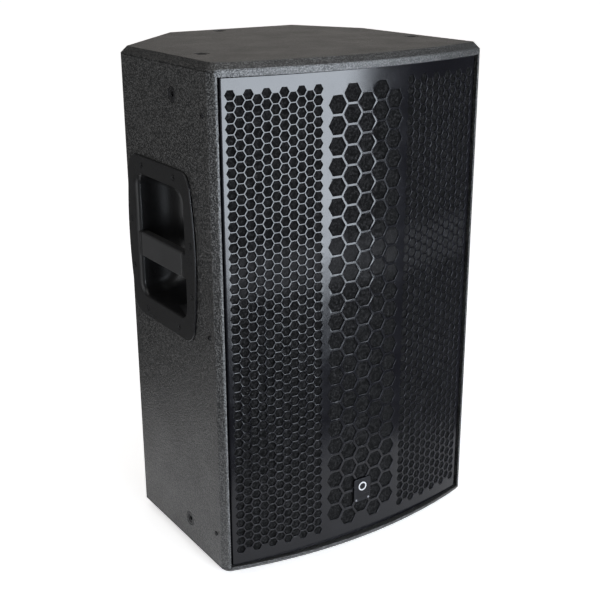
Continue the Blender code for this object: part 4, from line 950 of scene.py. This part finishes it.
def build_suspension():
    """The surround and spider, each cut into sectors that stand in for its CAD ring."""
    half_angle = math.pi / SUSPENSION_SECTORS
    for name, material, slot, held_share in (
        ("woofer_surround", SURROUND_CLOTH, "surround_cloth", 0.35),
        ("woofer_spider", SPIDER_CLOTH, "spider_cloth", 0.20),
    ):
        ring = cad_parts[name]
        points = [ring.matrix_world @ vertex.co - WOOFER_AT for vertex in ring.data.vertices]
        reaches = [math.hypot(point.x, point.z) for point in points]
        rim, neck = max(reaches), min(reaches)
        held = (rim - held_share * (rim - neck)) * math.cos(half_angle)
        for index in range(SUSPENSION_SECTORS):
            angle = (2 * index + 0.9) * half_angle
            outward = Vector((math.cos(angle), 0, math.sin(angle)))
            shape = ring_sector(ring, angle, half_angle)
            sector = mesh_object(f"{name}_sector_{index + 1}", shape)
            sector.data.materials.append(material)
            smooth(sector)
            start, end = WOOFER_AT + outward * held, WOOFER_AT + outward * neck
            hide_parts(name)
            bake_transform(sector)
            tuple(start)
            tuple(end)


# ---- amplifier


def on_amplifier(name):
    """The matrix of the point of the amplifier panel's face that a fitting is centred on."""
    at = middle(name)
    return facing(0, 1, (at.x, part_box("amp_panel")[1].y, at.z))


def knob_shape(radius, length):
    """A ribbed knob on its shaft, its foot just off the panel at z = 0."""
    steps = 144

    def ring(inset, height, rib=0.0):
        points = []
        for step in range(steps):
            angle = 2 * math.pi * step / steps
            reach = radius - inset - rib * (0.5 + 0.5 * math.cos(KNOB_RIBS * angle))
            points.append((reach * math.cos(angle), reach * math.sin(angle), height))
        return points

    shaft = radius - 0.003
    rings = [ring(shaft, -0.012), ring(shaft, 0.0004)]
    rings += [ring(0, 0.0004), ring(0, 0.0016), ring(0.0005, 0.0021)]
    rings += [ring(0.0005, 0.0026, 0.0006), ring(0.0005, length - 0.0010, 0.0006)]
    rings += [ring(0.0014, length - 0.0001)]
    rings += [ring(0.0030, length), ring(0.0036, length - 0.0004)]
    return loft(rings)


def build_knobs():
    """The level knobs, each with a pointer that turns with it and printed ticks round it."""
    for control in ("input_1", "input_2", "master"):
        name = f"{control}_level"
        place = on_amplifier(name)
        radius = size(name).x / 2
        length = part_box(name)[1].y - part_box("amp_panel")[1].y - 0.0008
        body = f"{control}_knob"
        piece(f"{name}_knob", knob_shape(radius, length), KNOB_PLASTIC, [name], body, place)
        pointer = slab((0.0010, 0.0052), 0.0006, 0.0003, 0.0001, (0, 0.0040), length + 0.0002)
        piece(f"{name}_pointer", pointer, PRINT, (), body, place)
        ticks = []
        for step in range(KNOB_TICKS):
            degrees = KNOB_TURN - 2 * KNOB_TURN / (KNOB_TICKS - 1) * step
            turn = Matrix.Rotation(math.radians(degrees), 4, "Z")
            width = 0.0009 if step % 5 == 0 else 0.0005
            ticks.append(moved(slab((width, 0.0024), 0.0003, 0.0001, 0.00005, (0, 0.0122), 0.0001), turn))
        piece(f"{name}_ticks", merged(*ticks), PRINT, matrix=place)


def add_connector(name, part, shape, place, material, replaced=(), edge=0.0):
    piece(f"{name}_{part}", shape, material, replaced, matrix=place, edge=edge)


def build_input_sockets():
    """Round sockets: a square flange with two screws, a cup, and contacts at the bottom of it."""
    for name in ("input_1_socket", "input_2_socket"):
        place = on_amplifier(name)
        outline = rectangle((size(name).x, size(name).z), 0.003)
        flange = flat_fill([outline, circle(0.0100)], CONNECTOR_FLANGE)
        flange = moved(flange, shift(0, 0, CONNECTOR_FLANGE_MIDDLE))
        profile = [(0.0001, -0.0220), (0.0001, -0.0130), (0.0095, -0.0130)]
        profile += [(0.0095, 0.0029), (0.0112, 0.0029), (0.0112, -0.0220)]
        cup = turned(profile, 64, [0, 0, 0.0005, 0.0007, 0.0005, 0])
        add_connector(name, "shell", merged(flange, cup), place, CONNECTOR_PLASTIC, [name], CONNECTOR_EDGE)
        profile = [(0.0034, -0.0135), (0.0034, -0.0060), (0.0048, -0.0060), (0.0048, -0.0135)]
        add_connector(name, "jack", turned(profile, 48, [0.0004] * 4), place, CONNECTOR_PLASTIC)
        sleeves = []
        for third in range(3):
            angle = math.pi / 2 + third * 2 * math.pi / 3
            profile = [(0.0007, -0.0135), (0.0007, -0.0110), (0.0013, -0.0110), (0.0013, -0.0135)]
            sleeve = turned(profile, 24)
            sleeves.append(moved(sleeve, shift(0.0070 * math.cos(angle), 0.0070 * math.sin(angle))))
        add_connector(name, "contacts", merged(*sleeves), place, CONTACT_METAL)
        add_flange_screws(name, place, [(0.0090, 0.0122), (-0.0090, -0.0122)])


def add_flange_screws(name, place, spots, seat=FLANGE_SCREW_SEAT):
    heads = [moved(socket_screw(*FLANGE_SCREW), shift(x, y, seat)) for x, y in spots]
    piece(f"{name}_screws", merged(*heads), SCREW_STEEL, matrix=place)


def build_mains_inlet():
    """A flange round a deep rectangular cavity with three flat pins."""
    place = on_amplifier("mains_inlet")
    outer, inner = (0.0275, 0.0195), (0.0245, 0.0165)
    outlines = [rectangle((0.048, 0.028), 0.003), rectangle((0.0265, 0.0185), 0.002)]
    flange = moved(flat_fill(outlines, CONNECTOR_FLANGE), shift(0, 0, CONNECTOR_FLANGE_MIDDLE))
    rings = [at_height(rectangle(outer, 0.0025), z) for z in (-0.0220, 0.0023)]
    rings += [at_height(rectangle(inner, 0.0020), z) for z in (0.0023, -0.0137)]
    shell = merged(flange, loft(rings))
    add_connector("mains_inlet", "shell", shell, place, CONNECTOR_PLASTIC, ["mains_inlet"], CONNECTOR_EDGE)
    spots = ((-0.007, -0.002), (0, 0.002), (0.007, -0.002))
    pins = [slab((0.0020, 0.0040), 0.0115, 0.0004, 0.0006, spot, -0.0025) for spot in spots]
    add_connector("mains_inlet", "pins", merged(*pins), place, CONTACT_METAL)
    add_flange_screws("mains_inlet", place, [(-0.0192, 0), (0.0192, 0)])


def build_amplifier():
    """The panel and what is fixed to it, with eight screws round its edge."""
    dress("amp_panel", AMP_METAL, PANEL_EDGE)
    dress("amp_heatsink", HEATSINK_METAL, HEATSINK_EDGE)
    dress("amp_board", BOARD)
    dress("power_switch_bezel", SWITCH_PLASTIC, PANEL_EDGE)
    dress("power_switch", SWITCH_PLASTIC, PANEL_EDGE)
    build_knobs()
    build_input_sockets()
    build_mains_inlet()
    reach_x, reach_z = (extent / 2 - PANEL_SCREW_INSET for extent in size("amp_panel").xz)
    spots = [(x * reach_x, z * reach_z) for x in (-1, 1) for z in (-1, -1 / 3, 1 / 3, 1)]
    add_flange_screws("amp_panel", on_amplifier("amp_panel"), spots, 0)


# ---- stage


def add_stage():
    """A wide pale floor. Only its middle shows in the cabinet's gloss, as a table in a dim studio would."""
    material, tree, surface, place = start_material("studio_floor", specular=0.0)
    clouds = spread(tree, noise(tree, place, 1.5), 0.3, 0.7)
    pale = blend_colour(tree, clouds, (0.94, 0.94, 0.95), (0.96, 0.96, 0.97))
    tree.links.new(pale, surface.inputs["Base Color"])
    surface.inputs["Roughness"].default_value = 0.9
    surface.inputs["Emission Color"].default_value = (1.0, 0.99, 0.98, 1.0)
    seen = node(tree, "ShaderNodeLightPath").outputs["Is Camera Ray"]
    glow = spread(tree, seen, 0.0, 1.0, FLOOR_BOUNCE, FLOOR_GLOW)
    tree.links.new(glow, surface.inputs["Emission Strength"])
    rings = (("floor_middle", 0.0, TABLE_RADIUS), ("floor_far", TABLE_RADIUS, FLOOR_RADIUS))
    for name, inner, outer in rings:
        shape = bmesh.new()
        far = [shape.verts.new(point) for point in at_height(circle(outer, steps=64), 0)]
        if inner > 0:
            near = [shape.verts.new(point) for point in at_height(circle(inner, steps=64), 0)]
            for a, b, c, d in zip(far, far[1:] + far[:1], near[1:] + near[:1], near):
                shape.faces.new((a, b, c, d))
        else:
            shape.faces.new(far)
        floor = mesh_object(name, shape)
        floor.data.materials.append(material)
        floor.visible_glossy = inner == 0
        floor.visible_shadow = inner == 0


def add_softbox(name, location, target, extent, power, colour):
    light = bpy.data.lights.new(name, "AREA")
    light.shape = "RECTANGLE"
    light.size, light.size_y = extent
    light.energy = power
    light.color = colour
    lamp = bpy.data.objects.new(name, light)
    bpy.context.scene.collection.objects.link(lamp)
    lamp.location = location
    lamp.rotation_euler = (Vector(target) - Vector(location)).to_track_quat("-Z", "Y").to_euler()
    lamp.visible_camera = False


def add_light():
    """A white backdrop for the camera in a dim room, a soft ceiling and the softboxes."""
    world = bpy.data.worlds.new("studio")
    bpy.context.scene.world = world
    world.use_nodes = True
    tree = world.node_tree
    backdrop = tree.nodes["Background"]
    backdrop.inputs["Color"].default_value = (1.0, 1.0, 1.0, 1.0)
    seen = node(tree, "ShaderNodeLightPath").outputs["Is Camera Ray"]
    tree.links.new(spread(tree, seen, 0.0, 1.0, ROOM, 1.0), backdrop.inputs["Strength"])
    sun = bpy.data.lights.new("ceiling_bank", "SUN")
    sun.energy = CEILING_POWER
    sun.angle = CEILING_SPREAD
    sun.color = CEILING_COLOUR
    ceiling = bpy.data.objects.new("ceiling_bank", sun)
    bpy.context.scene.collection.objects.link(ceiling)
    for softbox in SOFTBOXES:
        add_softbox(*softbox)


def add_camera():
    """The photograph's viewpoint."""
    camera = bpy.data.objects.new("camera", bpy.data.cameras.new("camera"))
    bpy.context.scene.collection.objects.link(camera)
    camera.data.sensor_width = 36.0
    camera.data.lens = CAMERA_LENS
    level_right = Vector((math.cos(CAMERA_YAW), -math.sin(CAMERA_YAW), 0))
    level = Vector((math.sin(CAMERA_YAW), math.cos(CAMERA_YAW), 0))
    forward = level * math.cos(CAMERA_PITCH) - Vector((0, 0, math.sin(CAMERA_PITCH)))
    level_up = level_right.cross(forward)
    right = level_right * math.cos(CAMERA_ROLL) + level_up * math.sin(CAMERA_ROLL)
    up = right.cross(forward)
    turn = Matrix((right, up, -forward)).transposed()
    camera.matrix_world = Matrix.LocRotScale(Vector(CAMERA_AT), turn.to_quaternion(), None)
    bpy.context.scene.camera = camera


def build():
    dress_cabinet()
    build_grille()
    build_foam()
    build_badge()
    build_grille_screws()
    for side_name, side in (("left", -1), ("right", 1)):
        build_handle(side_name, side)
    build_rigging()
    build_feet()
    build_pole_socket()
    dress_drivers()
    build_suspension()
    build_amplifier()
    add_stage()
    add_light()
    add_camera()
    bpy.context.scene.view_settings.view_transform = "Standard"


build()
